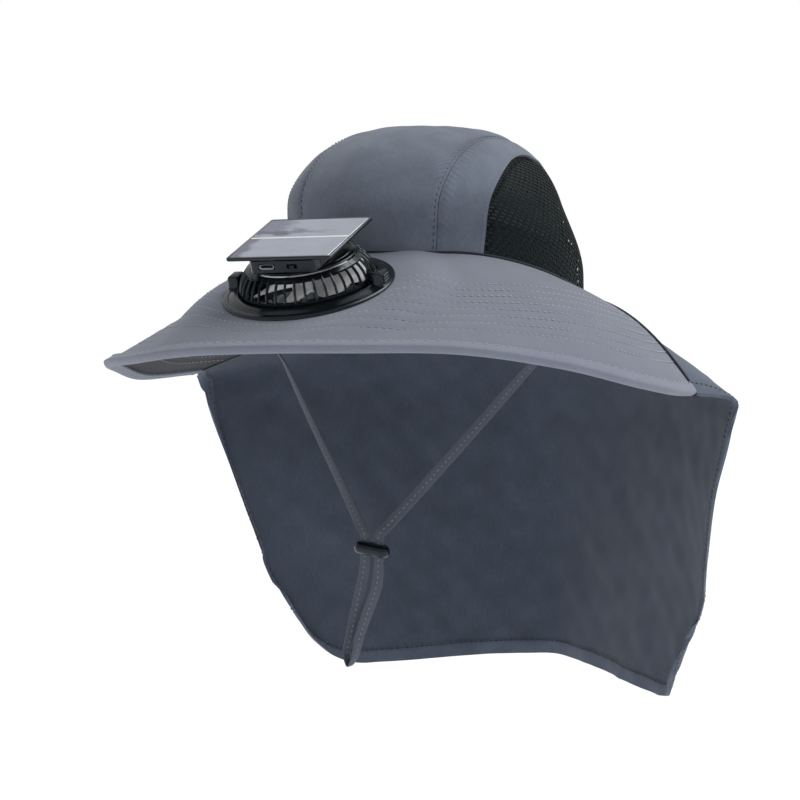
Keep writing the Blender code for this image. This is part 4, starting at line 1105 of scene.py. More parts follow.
def strap_side(side):
    """One side's route: sewn under the brim, falling by the table, then down through the lock."""
    shares = np.array(STRAP_SEWN_SHARES)
    depth = BRIM_WALL + STRAP_SEWN_GAP + STRAP_WALL * np.array([0.5, 0.5, 1.5])
    across = math.radians(side * STRAP_AZIMUTH) + np.radians([-1.0, 0.0, 1.0])
    patch = brim_points(across[None], shares[:, None])
    lying = (patch + grid_normals(patch) * depth[:, None, None])[:, 1]
    lying = np.c_[lying, np.full(len(shares), side * 90.0)]
    scale = np.array([side * STRAP_SPREAD, -STRAP_FORWARD, -STRAP_DROP, side])
    rises = np.array([1.0, 0.5, -0.5, -1.0]) * LOCK_HEIGHT
    through = np.array([side * STRAP_LEG_OFFSET, -STRAP_FORWARD, -STRAP_DROP, 0.0])
    leg = through + np.outer(rises, [0.0, 0.0, 1.0, 0.0])
    return np.vstack([lying, STRAP_FALL_ROWS * scale, leg])


def strap_line(count):
    """The whole strap evenly divided: its path, its width's direction and its face's direction."""
    loop = STRAP_LOOP_ROWS * np.array([STRAP_LOOP, -STRAP_LOOP, 1.0])
    forward, down = np.full(len(loop), -STRAP_FORWARD), loop[:, 1] - STRAP_DROP - LOCK_HEIGHT
    loop = np.c_[loop[:, 0], forward, down, loop[:, 2]]
    route = np.vstack([strap_side(-1.0), loop, strap_side(1.0)[::-1]])
    run = run_length(route[:, :3], 0)
    place = np.linspace(0.0, run[-1], count)
    path = np.stack([smooth_table(place, run, route[:, axis]) for axis in range(3)], axis=-1)
    turn = np.radians(smooth_table(place, run, route[:, 3]))
    along = unit(np.gradient(path, axis=0))
    width = np.stack([np.cos(turn), np.sin(turn), 0.0 * turn], axis=-1)
    width = unit(width - along * np.sum(width * along, axis=1, keepdims=True))
    return path, width, np.cross(along, width)


def fan_axes():
    """The fan's own axes in the hat's frame: tilted with the brim's slope, then turned by its yaw."""
    slope, yaw = brim_slope(), math.radians(FAN_YAW)
    x = (math.cos(yaw), math.sin(yaw) * math.cos(slope), math.sin(yaw) * math.sin(slope))
    y = (-math.sin(yaw), math.cos(yaw) * math.cos(slope), math.cos(yaw) * math.sin(slope))
    z = (0.0, -math.sin(slope), math.cos(slope))
    return np.array([x, y, z])


def in_fan(mesh, height=0.0):
    """A mesh made round the fan's axis, height above its seat, put in its place on the brim."""
    verts = mesh[0] + np.array([0.0, 0.0, height])
    return (verts @ fan_axes() + fan_seat(), *mesh[1:])


def finish_once(maker, name, *values, **words):
    """A material by its name, made on its first use."""
    return bpy.data.materials.get(name) or maker(name, *values, **words)


def crown_shell(direction, seams, gather=1.0):
    """A crown panel's two skins: crown_points with the relief as its inset, which fades at the foot."""
    risen = smooth_step((unit_dome(direction)[..., 2] - 0.02) / 0.25)
    relief = crown_relief(crown_points(direction), seams, risen, gather)
    return crown_points(direction, relief), crown_points(direction, relief + CROWN_WALL)


def side_directions(side, rows, columns):
    """Directions over a side panel, from the centre strip's seam to the net's arch."""
    share = even_shares(columns)
    gap = 0.5 * PIECE_GAP / CROWN_HALF_WIDTH
    grid = panel(strip_seam(np.pi * share, gap), vent_arch(share, gap), even_shares(rows, 0.6))
    return grid * np.array([side, 1.0, 1.0])


def net_skins(side, pitch):
    """The net's lattice over azimuth and rise: bars along NET_BAR of each row's height, joined once in each
    pitch by a strand, which lies half a pitch further on in each second row. The rows slant a little, and
    the edge is drawn in under the side panel."""
    turn = math.radians(VENT_HALF) + NET_MARGIN
    step = pitch / CROWN_HALF_LENGTH
    periods = int(2.0 * turn / step)
    azimuth = (np.arange(periods)[:, None] + NET_BREAKS).ravel() * step + math.radians(VENT_MIDDLE) - turn
    hole_rows = int(math.radians(VENT_RISE + NET_OVERRUN) / NET_ROW)
    heights = (np.arange(hole_rows)[:, None] + np.array([0.0, NET_BAR])).ravel() * NET_ROW
    slant = NET_SLANT * (azimuth - math.radians(VENT_MIDDLE))
    rise = heights[:, None] - slant[None] - NET_START
    azimuth = azimuth[None] + 0.0 * rise
    away = ((azimuth - math.radians(VENT_MIDDLE)) / math.radians(VENT_HALF)) ** 2
    away = np.sqrt(away + (np.maximum(rise, 0.0) / math.radians(VENT_RISE)) ** 2)
    sunk = NET_SINK + (CROWN_WALL + NET_TUCK) * smooth_step((away - NET_TUCK_START) / NET_TUCK_WIDTH)
    sunk = sunk * smooth_step((rise + 0.1) / 0.12)
    direction = dome_direction(azimuth, rise) * np.array([side, 1.0, 1.0])
    number = np.arange(len(heights) - 1)
    column = np.arange(azimuth.shape[1] - 1) % 4
    strand_row = (number % 2 == 0)[:, None]
    odd = ((number // 2) % 2 == 1)[:, None]
    strand = strand_row | np.where(odd, column[None] == 2, column[None] == 0)
    middle = 0.25 * (away[1:, 1:] + away[1:, :-1] + away[:-1, 1:] + away[:-1, :-1])
    low = rise[1:, :-1] < NET_LOWEST
    kept = strand & (middle < NET_EDGE) & ~low
    return crown_points(direction, sunk), crown_points(direction, sunk + NET_WALL), kept


def without_loose(mesh, lie=None):
    """A mesh, and its cloth coordinates, without the vertices that no face has."""
    verts, *faces = mesh
    used = np.zeros(len(verts), dtype=bool)
    for part in faces:
        used[part.ravel()] = True
    place = np.cumsum(used) - 1
    mesh = (verts[used], *[place[part] for part in faces])
    return mesh, None if lie is None else lie[used]


def band_skins(rows, columns):
    """The sweatband's skins: rings of the dome up to BAND_HEIGHT, in from the crown, with slight gathers."""
    azimuth = np.linspace(-np.pi, np.pi, columns, endpoint=False)
    foot = seam_drop(azimuth) + BRIM_WALL
    up = np.linspace(1.0, 0.0, rows)[:, None] * BAND_HEIGHT / (CROWN_HEIGHT + 2.0 * foot)
    level = (1.0 - up ** CROWN_SQUARENESS) ** (1.0 / CROWN_SQUARENESS)
    direction = dome_direction(azimuth[None], np.arctan2(up, level))
    inset = CROWN_WALL + BAND_CLEARANCE + BAND_BACK_EASE * smooth_step(-np.cos(azimuth))
    gathers = BAND_GATHER * np.sin(96.0 * azimuth + 2.0 * np.sin(7.0 * azimuth))
    gathers = gathers * np.linspace(1.0, 0.0, rows)[:, None]
    inset = inset + BAND_GATHER + gathers
    return crown_points(direction, inset), crown_points(direction, inset + BAND_WALL)


def brim_shares(reach, first, pitch, count):
    """Rows of the brim's grid: close ones over the stitched part, at even distances from the edge, then a
    few up to the crown."""
    last = first + (count - 0.5) * pitch
    distance = np.append(np.arange(last, 1.5 * TAPE_SINK, -pitch / 8.0), TAPE_SINK)
    stitched = 1.0 - distance[:, None] / reach
    inner = np.linspace(0.0, 1.0, BRIM_INNER_ROWS)[:-1, None] * stitched[:1]
    return np.concatenate([inner, stitched])


def brim_skins(cloth, columns):
    """The brim's skins: brim_points with a shallow groove along each stitched row, and slight waves."""
    end = math.radians(BRIM_INNER_END)
    azimuth = np.linspace(-end, end, columns)
    reach = brim_reach(azimuth)
    out = brim_shares(reach, cloth.row_first, cloth.row_pitch, cloth.row_count)
    upper = brim_points(azimuth[None], out)
    normals = -grid_normals(upper)
    normals[0] = (0.0, 0.0, 1.0)
    inward = (1.0 - out) * reach[None]
    row = (inward - cloth.row_first) / cloth.row_pitch
    near = np.abs(row - np.clip(np.round(row), 0.0, cloth.row_count - 1.0)) * cloth.row_pitch
    away = np.linalg.norm(upper - fan_seat(), axis=-1)
    free = smooth_step((away - QUILT_START) / QUILT_EASE) * smooth_step(out / 0.08)
    quilt = -QUILT_DEPTH * bump_at(near, QUILT_WIDTH)
    depth, wave = BRIM_WAVE
    waves = depth * soft_noise(upper[..., 0], upper[..., 1], wave, 31) * smooth_step(inward / 0.02)
    relief = (quilt + waves) * free
    faces = 0.25 * (away[1:, 1:] + away[1:, :-1] + away[:-1, 1:] + away[:-1, :-1])
    outer = upper + normals * relief[..., None]
    inner = upper - normals * (BRIM_WALL - 0.6 * relief[..., None])
    return outer, inner, faces > BRIM_CUT_RADIUS


def cord_mesh(path, radius, corners=8):
    """A round cord along a path, its ring's first direction square to the path and to the upright."""
    along = unit(np.gradient(path, axis=0))
    side = unit(np.cross(along, [0.0, 0.0, 1.0]))
    turn = np.linspace(0.0, 2.0 * np.pi, corners, endpoint=False)[:, None]
    ring = side[:, None] * np.cos(turn) + np.cross(along, side)[:, None] * np.sin(turn)
    return tube_mesh(path[:, None] + ring * radius)


def piping_mesh():
    """The piping where crown, brim and flap meet: a cord round the crown's foot, a thicker one behind it
    where the flap is sewn on, and three on top of each other along each back edge of the brim."""
    end = math.radians(BRIM_INNER_END - SEWN_END)
    clear, radius = FOOT_CORD
    foot = crown_points(dome_direction(np.linspace(-np.pi, np.pi, 601), 0.0), -clear)
    foot[:, 2] += BRIM_WALL + clear
    cords = [cord_mesh(foot, radius)]
    clear, radius = BACK_CORD
    behind = crown_points(dome_direction(np.linspace(end, 2.0 * np.pi - end, 241), 0.0), -clear)
    behind[:, 2] += BRIM_WALL
    cords.append(cord_mesh(behind, radius))
    share = np.linspace(0.02, 0.995, 160)
    for side in (-1.0, 1.0):
        back = brim_points(side * math.radians(BRIM_INNER_END), share)
        beyond = unit(brim_points(side * math.radians(BRIM_INNER_END + 0.5), share) - back)
        for drop in PIPING_DROPS:
            cords.append(cord_mesh(back + PIPING_BESIDE * beyond - [0.0, 0.0, drop], PIPING_RADIUS))
    return joined(cords)


def beside_flange(place):
    """Where a stitch is clear of the fan's flange."""
    return np.linalg.norm(place - fan_seat(), axis=1) > FLANGE_RADIUS + STITCH_CLEARANCE


def tape_sections(cloth, columns):
    """The folded tape's sections: from the upper leaf's inner edge, over a round lip, to the lower leaf's.
    Each leaf is wider by TAPE_SWELL |sin(pi run / pitch)|, once in each pitch of its stitches."""
    end = math.radians(BRIM_INNER_END)
    azimuth = np.linspace(-end, end, columns)
    edge, normals = brim_line(azimuth, 0.0)
    out = unit(edge - brim_line(azimuth, cloth.tape_width)[0])
    run = run_length(edge, 0)[:, None]
    leaf = cloth.tape_width + TAPE_SWELL * np.abs(np.sin(np.pi * run / TAPE_STITCH[0]))
    half = 0.5 * BRIM_WALL
    lip = np.linspace(0.5 * np.pi, -0.5 * np.pi, 9)
    leaf_along = -leaf * np.array([1.0, 0.985, 0.93, 0.75, 0.50])
    leaf_up = TAPE_LIFT + TAPE_WALL * np.array([0.0, 0.75, 1.0, 1.0, 1.0]) + 0.0 * run
    lip_along = half * (np.cos(lip) - 1.0) + 0.0 * run
    lip_up = np.sin(lip) * (half + TAPE_LIFT + TAPE_WALL) - half + 0.0 * run
    along = np.concatenate([leaf_along, lip_along, leaf_along[:, ::-1]], axis=1)
    up = np.concatenate([leaf_up, lip_up, -BRIM_WALL - leaf_up[:, ::-1]], axis=1)
    return edge[:, None] + out[:, None] * along[..., None] + normals[:, None] * up[..., None]


def line_at(points, run, distance):
    """The line across a grid where the run down its columns reaches a distance."""
    after = np.clip(np.argmax(run >= distance, axis=0), 1, None)
    columns = np.arange(points.shape[1])
    low, high = run[after - 1, columns], run[after, columns]
    share = ((distance - low) / (high - low))[:, None]
    return points[after - 1, columns] * (1.0 - share) + points[after, columns] * share


def folded(points, across, down):
    """The corner beyond a chord of the outline, rolled inwards: a point at distance r past the chord moves by
    t (sin(kr)/k - r) + m (1 - cos(kr))/k, with t square to the chord in the cloth and m towards the head."""
    side, foot = int(FOLD_TOP * points.shape[0]), int(FOLD_FOOT * points.shape[1])
    top, low = points[side, -1], points[-1, foot]
    chord = unit(low - top)
    outline = np.concatenate([points[side:, -1], points[-1, foot:]]) - top
    beside = outline - np.sum(outline * chord, axis=-1, keepdims=True) * chord
    reach = np.linalg.norm(beside, axis=-1)
    past = unit(beside[np.argmax(reach)])
    inside = np.cross(chord, past)
    inside = inside * np.sign(np.sum(inside * (NECK - top)))
    away = np.maximum(np.sum((points - top) * past, axis=-1), 0.0)
    below = np.sum((points - top) * chord, axis=-1) > 0.0
    near = (across > 2.0 * FOLD_FOOT - 1.0)[None] & below & (down > 0.4)
    away = np.where(near, away, 0.0)[..., None]
    curl = FOLD_TURN / reach.max()
    turn = curl * away
    return points + past * (np.sin(turn) / curl - away) + inside * (1.0 - np.cos(turn)) / curl


def flap_skins(cloth, rows, columns):
    """The flap's skins: flap_points with soft folds, its wearer's-left lower corner rolled inwards, and a
    thicker hem with gathers along its stitch line."""
    across = np.linspace(-1.0, 1.0, columns)
    down = even_shares(rows, 0.35)[:, None] * flap_end(across)[None]
    outer = flap_points(across[None] + 0.0 * down, down)
    outer = folded(outer, across, down)
    normals = grid_normals(outer)
    fall, wide = run_length(outer, 0), run_length(outer, 1)
    hang = smooth_step(down / 0.15)
    calm = smooth_step(np.minimum(wide, wide[:, -1:] - wide) / 0.050)
    soft = FLAP_WAVE[0] * soft_noise(wide, 0.5 * fall, FLAP_WAVE[1], 41)
    soft = soft + FLAP_CREASE[0] * soft_noise(wide, fall, FLAP_CREASE[1], 47)
    outer = outer + normals * (soft * hang * calm)[..., None]
    bottom, left, right = fall[-1:] - fall, wide, wide[:, -1:] - wide
    inward = np.minimum(bottom, np.minimum(left, right))
    along = np.where(bottom < np.minimum(left, right), wide, fall)
    hem = smooth_step((cloth.hem_width - inward) / HEM_STEP) * smooth_step(fall / 0.004)
    depth, pitch = HEM_GATHER
    uneven = 1.4 * soft_noise(along, 0.0 * along, 0.03, 51)
    gathers = np.sin(2.0 * np.pi * (along + 0.4 * inward) / pitch + uneven)
    gathers = depth * gathers * bump_at(inward - cloth.hem_width, HEM_GATHER_REACH) * hang
    groove = HEM_GROOVE * bump_at(inward - (cloth.hem_width - HEM_INSET), HEM_GROOVE_WIDTH)
    outer = outer + normals * (gathers - groove * hang)[..., None]
    inner = outer - normals * (FLAP_WALL + HEM_WALL * hem - 1.6 * groove * hang)[..., None]
    return outer, inner, hem


def strap_mesh(count, corners=16):
    """The strap's sections: ovals of |cos|^0.55 by |sin|^0.8, flat in the face and round at the edges, with a
    shallow groove under the stitches."""
    path, width, face = strap_line(count)
    turn = np.linspace(0.0, 2.0 * np.pi, corners, endpoint=False) + np.pi / corners
    wide = np.sign(np.cos(turn)) * np.abs(np.cos(turn)) ** 0.55 * 0.5 * STRAP_WIDTH
    tall = np.sign(np.sin(turn)) * np.abs(np.sin(turn)) ** 0.8 * 0.5 * STRAP_WALL
    tall = tall * (1.0 - STRAP_GROOVE * bump_at(wide, STRAP_GROOVE_WIDTH))
    rings = path[:, None] + width[:, None] * wide[:, None] + face[:, None] * tall[:, None]
    run = run_length(path, 0)
    wide, along = np.broadcast_arrays(wide, run[:, None])
    ring_lie = np.stack([wide, along, 0.0 * along], axis=-1)
    ends = np.array([(0.0, run[0], 0.0), (0.0, run[-1], 0.0)])
    return tube_mesh(rings), np.concatenate([ring_lie.reshape(-1, 3), ends])


def lock_mesh():
    """The bean-shaped slider: a pill whose flanks round over from its middle height, tilted a little, its
    ends lower by LOCK_SAG times the square of the distance along it."""
    turn = np.linspace(-0.5 * np.pi, 0.5 * np.pi, 13)
    rounding = LOCK_ROUNDING * (1.0 - np.cos(turn))
    sizes = np.array([0.5 * LOCK_LENGTH, 0.5 * LOCK_DEPTH, 0.49 * LOCK_DEPTH]) - rounding[:, None]
    verts, *faces = slab_mesh(np.c_[sizes, 0.5 * LOCK_HEIGHT * np.sin(turn)])
    tilt = math.radians(LOCK_TILT)
    x = verts[:, 0] * math.cos(tilt) + verts[:, 2] * math.sin(tilt)
    z = verts[:, 2] * math.cos(tilt) - verts[:, 0] * math.sin(tilt) - LOCK_SAG * verts[:, 0] ** 2
    return (np.stack([x, verts[:, 1] - STRAP_FORWARD, z - STRAP_DROP], axis=-1), *faces)


def fan_curve(rows, count, inset=0.0):
    """A smooth curve through profile rows, times the cage's radius, and set in square to itself."""
    place = np.linspace(0.0, len(rows) - 1.0, count)
    curve = np.stack([smooth_table(place, np.arange(len(rows)), rows[:, axis]) for axis in range(2)], axis=-1)
    curve = curve * CAGE_RADIUS
    slope = unit(np.gradient(curve, axis=0))
    return curve + inset * np.stack([slope[:, 1], -slope[:, 0]], axis=-1)


def hoop(rows, wall, count=12, steps=128):
    """A turned wall along a curve of profile rows."""
    return turned_mesh(np.concatenate([fan_curve(rows, count), fan_curve(rows, count, wall)[::-1]]), steps)


def eased_rows(half_x, half_y, level, rows):
    """A slab's rows from their distances in from the sides, corner radii and rises from a level."""
    inset, corner, up = rows.T
    return np.stack([half_x - inset, half_y - inset, corner, level + up], axis=-1)


def disc(radius, foot, rows, steps=24):
    """A solid of circles stacked up: each row says how far one lies in from a radius and up from a foot."""
    sizes, heights = radius - rows[:, 0], foot + rows[:, 1]
    return slab_mesh(np.stack([sizes, sizes, sizes, heights], axis=-1), steps)


def round_about(mesh, angles):
    """Copies of a mesh turned about the upright axis."""
    cosine, sine = np.cos(angles)[:, None], np.sin(angles)[:, None]
    x, y, z = mesh[0].T
    verts = np.stack([x * cosine - y * sine, x * sine + y * cosine, z + 0.0 * cosine], axis=-1)
    shift = len(mesh[0]) * np.arange(len(angles))[:, None, None]
    return (verts.reshape(-1, 3), *[(part[None] + shift).reshape(-1, part.shape[1]) for part in mesh[1:]])


def rib(rows, wall, width, count=14, corners=8):
    """One rib along a curve of profile rows: an oval section, width across and wall deep."""
    curve = fan_curve(rows, count, 0.5 * wall)
    slope = unit(np.gradient(curve, axis=0))
    turn = np.linspace(0.0, 2.0 * np.pi, corners, endpoint=False)
    deep, wide = 0.5 * wall * np.cos(turn), 0.5 * width * np.sin(turn)
    radius = curve[:, :1] + slope[:, 1:] * deep
    height = curve[:, 1:] - slope[:, :1] * deep
    return tube_mesh(np.stack([radius, wide + 0.0 * radius, height], axis=-1))


def rod(start, end, radius, corners=12):
    """A round bar with eased ends."""
    start, end = np.asarray(start, dtype=float), np.asarray(end, dtype=float)
    along = unit(end - start)
    side = unit(np.cross(along, (0.3, 0.2, 1.0)))
    turn = np.linspace(0.0, 2.0 * np.pi, corners, endpoint=False)[:, None]
    ring = side * np.cos(turn) + np.cross(along, side) * np.sin(turn)
    length = np.linalg.norm(end - start)
    ease = min(0.35 * radius, 0.2 * length)
    rings = [start + along * place + ring * radius * size
             for place, size in ((0.0, 0.7), (ease, 1.0), (length - ease, 1.0), (length, 0.7))]
    return tube_mesh(np.array(rings))


def add_head_piece(name, mesh, finish, stands_for, smooth, lie=None):
    """A piece of the tilting head, made round its pivot, for the solid that it stands for."""
    add_piece(name, in_fan(mesh, PIVOT_HEIGHT), finish, "fan_head", (stands_for,), smooth, lie)


def moved(mesh, *shift):
    """A mesh shifted along its own axes."""
    return (mesh[0] + np.array(shift), *mesh[1:])


def lug_middle():
    """From the fan's axis to the middle of a lug."""
    return CAGE_RADIUS + CAGE_CLEARANCE + LUG_SPACING + 0.5 * LUG_LENGTH


def panel_bottom():
    """Height of the solar panel's underside above the pivot."""
    return PANEL_TOP - PIVOT_HEIGHT - PANEL_HEIGHT


def lug_mesh(side):
    """A pivot lug: a block with a rounded crown and grip bars across its outer face."""
    half_x, half_y = 0.5 * LUG_LENGTH + 0.0001, LUG_DEPTH * LUG_WIDTH
    base, top = LUG_FOOT, PIVOT_HEIGHT + LUG_TOP * LUG_RISE
    rows = np.concatenate([
        eased_rows(half_x, half_y, base, LUG_FOOT_ROWS), eased_rows(half_x, half_y, top, LUG_TOP_ROWS),
    ])
    face = half_x + 0.0001
    reach = half_y - LUG_BAR_END
    bars = [rod((face, -reach, up), (face, reach, up), LUG_BAR_RADIUS) for up in LUG_BARS]
    block = joined([slab_mesh(rows, 6), *bars])
    return (block[0] * np.array([side, 1.0, 1.0]) + np.array([side * lug_middle(), 0.0, 0.0]), *block[1:])


def flange_profile():
    """The flange's turned section: a wide rounded lip, a fine ring groove, the rise to the tube, the tube."""
    tube = CAGE_RADIUS + CAGE_CLEARANCE
    wall = tube + TUBE_WALL
    lip = np.linspace(0.0, 0.5 * np.pi, 6)
    wide, tall = FLANGE_LIP
    start = FLANGE_RADIUS - wide
    lip_rows = [(start + wide * math.cos(turn), 0.0006 + tall * math.sin(turn)) for turn in lip]
    rise = [(wall + beyond, height) for beyond, height in FLANGE_ROWS] + [(wall, FLANGE_HEIGHT)]
    rim = [(tube + 0.0009, FLANGE_HEIGHT + 0.0002), (tube + 0.0003, FLANGE_HEIGHT),
           (tube, FLANGE_HEIGHT - 0.0004)]
    foot = [(tube, -TUBE_DEPTH), (wall, -TUBE_DEPTH), (wall, TOUCH), (FLANGE_RADIUS - 0.0003, TOUCH)]
    return lip_rows + rise + rim + foot


def port_mesh(steps=8):
    """The charging socket's shell: a flat ring with round ends, carried back into its pocket."""
    wall = PORT_WALL
    turn = np.linspace(0.0, 2.0 * np.pi, 4 * steps, endpoint=False) + np.pi / (4.0 * steps)
    wide, tall = PORT_HALF
    sections = ((PORT_EASE, -PORT_EASE), (0.0, PORT_EASE), (0.0, PORT_DEPTH),
                (wall, PORT_DEPTH), (wall, 0.0), (wall - PORT_EASE, -PORT_EASE))
    rings = []
    for shrink, back in sections:
        radius = tall - shrink
        across = np.sign(np.cos(turn)) * (wide - tall) + radius * np.cos(turn)
        rings.append(np.stack([across, back + 0.0 * turn, radius * np.sin(turn)], axis=-1))
    return tube_mesh(np.array(rings), closed=True)


def blade_mesh():
    """One blade: chord across a turn that widens to the tip, pitched, with a slight camber."""
    span = np.linspace(0.70 * ROTOR_HUB_RADIUS, ROTOR_RADIUS, 18)
    chord = np.linspace(-0.5, 0.5, 13)[:, None]
    share = (span - span[0]) / (span[-1] - span[0])
    turn = chord * 2.0 * np.pi / ROTOR_BLADES * BLADE_CHORD * (0.75 + 0.25 * share)
    turn = turn + math.radians(BLADE_TWIST) * share
    height = chord * BLADE_PITCH * (ROTOR_HEIGHT - 2.0 * BLADE_WALL) + BLADE_CAMBER * (0.25 - chord ** 2)
    height = height + 0.0 * share
    upper = np.stack([span * np.cos(turn), span * np.sin(turn), height], axis=-1)
    wall = BLADE_WALL * np.sqrt(np.clip(1.02 - 4.0 * chord ** 2, 0.12, 1.0))[..., None]
    return wall_mesh(upper, upper - grid_normals(upper) * wall)


class HAT_OT_crown(bpy.types.Operator):
    """Build the crown's centre strip and side panels and their stitches"""

    bl_idname = "object.hat_crown"
    bl_label = "Crown"

    def execute(self, context):
        cloth = context.scene.hat_cloth
        # mask_shade 0.25 darkens the crown's inner skin: painted shade inside the crown
        weave = finish_once(cloth_finish, "crown weave", cloth.crown, 0.20, mask_shade=0.25, cloudy=1.6)
        gap = 0.5 * PIECE_GAP / CROWN_HALF_WIDTH
        seam = strip_seam(np.pi * even_shares(STRIP_GRID[1]), -gap)
        strip = panel(seam * np.array([-1.0, 1.0, 1.0]), seam, even_shares(STRIP_GRID[0], 0.75))
        outer, inner = crown_shell(strip, lambda run: (run, run[-1:] - run))
        add_piece("crown_center_cloth", wall_mesh(outer, inner), weave, "hat",
                  ("crown_center",), lie=lining_and_painted_shade(outer))
        rows = rows_at(outer, (SEAM_STITCH_INSET, -SEAM_STITCH_INSET), CROWN_STITCH)
        edges = []
        for name, side in (("right", -1.0), ("left", 1.0)):
            outer, inner = crown_shell(side_directions(side, *SIDE_GRID), lambda run: (run,), 0.25)
            add_piece(f"crown_side_{name}_cloth", wall_mesh(outer, inner), weave, "hat",
                      (f"crown_side_{name}",), lie=lining_and_painted_shade(outer))
            edges += rows_at(outer, (-ARCH_STITCH_INSET,), ARCH_STITCH)
        thread = finish_once(thread_finish, "crown thread", shade(cloth.crown, 0.26))
        add_piece("crown_stitches", joined(rows), thread, "hat")
        thread = finish_once(thread_finish, "edge thread", shade(cloth.crown, 1.15))
        add_piece("crown_edge_stitches", joined(edges), thread, "hat")
        return {"FINISHED"}


class HAT_OT_nets(bpy.types.Operator):
    """Build the net in each side of the crown"""

    bl_idname = "object.hat_nets"
    bl_label = "Nets"

    def execute(self, context):
        cloth = context.scene.hat_cloth
        knit = finish_once(net_finish, "net yarn", cloth.net)
        for name, side in (("right", -1.0), ("left", 1.0)):
            outer, inner, kept = net_skins(side, cloth.net_pitch)
            mesh = without_loose(wall_mesh(outer, inner, kept=kept))[0]
            add_piece(f"mesh_vent_{name}_net", mesh, knit, "hat", (f"mesh_vent_{name}",), 70.0)
        return {"FINISHED"}


class HAT_OT_sweatband(bpy.types.Operator):
    """Build the band inside the crown's foot"""

    bl_idname = "object.hat_sweatband"
    bl_label = "Sweatband"

    def execute(self, context):
        cloth = context.scene.hat_cloth
        # the band's colour comes from the flap's, which carries painted shade, and is darker still
        weave = finish_once(cloth_finish, "band weave", shade(cloth.flap, 0.7))
        outer, inner = band_skins(*BAND_GRID)
        add_piece("sweatband_cloth", wall_mesh(outer, inner, closed=True), weave, "hat",
                  ("sweatband",), lie=lie_of(outer))
        return {"FINISHED"}


class HAT_OT_brim(bpy.types.Operator):
    """Build the stitched brim with the fan's hole, the piping in its seams and the tape round its edge"""

    bl_idname = "object.hat_brim"
    bl_label = "Brim"

    def execute(self, context):
        cloth = context.scene.hat_cloth
        weave = finish_once(cloth_finish, "brim weave", cloth.brim, 0.10, mask_shade=0.15)
        outer, inner, kept = brim_skins(cloth, BRIM_COLUMNS)
        mesh, lie = without_loose(wall_mesh(outer, inner, kept=kept), lining_and_painted_shade(outer))
        add_piece("brim_cloth", mesh, weave, "hat", ("brim",), lie=lie)
        end = math.radians(BRIM_INNER_END - SEWN_END)
        azimuth = np.linspace(-end, end, SEWN_COLUMNS)
        rows = []
        for number in range(cloth.row_count):
            for depth, lift in ((STITCH_SINK, 1.0), (BRIM_WALL - STITCH_LIFT, -1.0)):
                line, normals = brim_line(azimuth, cloth.row_first + number * cloth.row_pitch, depth)
                rows.append(stitch_row(line, normals * lift, BRIM_STITCH, kept=beside_flange))
        thread = finish_once(thread_finish, "light thread", cloth.thread)
        add_piece("brim_stitches", joined(rows), thread, "hat")
        cords = piping_mesh()
        # the cords are piping, and their near-black colour is partly painted shade in the seams where crown,
        # brim and flap meet
        dark = finish_once(cloth_finish, "seam weave", shade(cloth.flap, 0.22), 0.2)
        add_piece("seam_piping", cords, dark, "hat", lie=0.0 * cords[0])
        tape = finish_once(cloth_finish, "tape weave", shade(cloth.brim, 1.15), 0.10)
        sections = tape_sections(cloth, TAPE_COLUMNS)
        run = run_length(sections, 0)
        ring_lie = np.stack([run_length(sections, 1), run, 0.0 * run], axis=-1).reshape(-1, 3)
        lie = np.concatenate([ring_lie, ring_lie[[0, -1]]])
        add_piece("brim_binding_tape", tube_mesh(sections), tape, "hat", ("brim_binding",),
                  60.0, lie)
        rows = []
        for depth, lift in ((-TAPE_LIFT - TAPE_WALL, 1.0), (BRIM_WALL + TAPE_LIFT + TAPE_WALL, -1.0)):
            line, normals = brim_line(azimuth, cloth.tape_width - TAPE_STITCH_INSET, depth)
            rows.append(stitch_row(line, normals * lift, TAPE_STITCH))
        add_piece("tape_stitches", joined(rows), thread, "hat")
        return {"FINISHED"}


class HAT_OT_flap(bpy.types.Operator):
    bl_idname = "object.hat_flap"
    bl_label = "Neck flap"

    def execute(self, context):
        cloth = context.scene.hat_cloth
        # cloth.flap is the crown's cloth darkened as painted shade; the mask lightens the outer skin and the
        # hem
        weave = finish_once(cloth_finish, "flap weave", cloth.flap, 0.20, mask_shade=1.40, cloudy=1.15)
        outer, inner, hem = flap_skins(cloth, *FLAP_GRID)
        lie = np.concatenate([lie_of(outer, 1, np.ones_like(hem)), lie_of(outer, 1, hem)])
        flap = add_piece("neck_flap_cloth", wall_mesh(outer, inner), weave, "hat",
                         ("neck_flap",), lie=lie)
        normals = grid_normals(outer)
        line = cloth.hem_width - HEM_INSET
        fall = run_length(outer, 0)[-1:] - run_length(outer, 0)
        rows = []
        for skin, facing in ((outer, 1.0), (inner, -1.0)):
            path = line_at(skin[::-1], fall[::-1], line)
            up = line_at(normals[::-1], fall[::-1], line) * facing
            rows.append(stitch_row(path[6:-6], up[6:-6], HEM_STITCH))
            for turn in (1, -1):
                side = np.swapaxes(skin[:, ::turn], 0, 1)
                run = run_length(side, 0)
                path = line_at(side, run, line)[2:-5]
                up = line_at(np.swapaxes(normals[:, ::turn], 0, 1), run, line)[2:-5] * facing
                rows.append(stitch_row(path, up, HEM_STITCH))
        thread = finish_once(thread_finish, "flap thread", shade(cloth.flap, 0.35))
        add_piece("flap_stitches", joined(rows), thread, "hat")
        return {"FINISHED"}


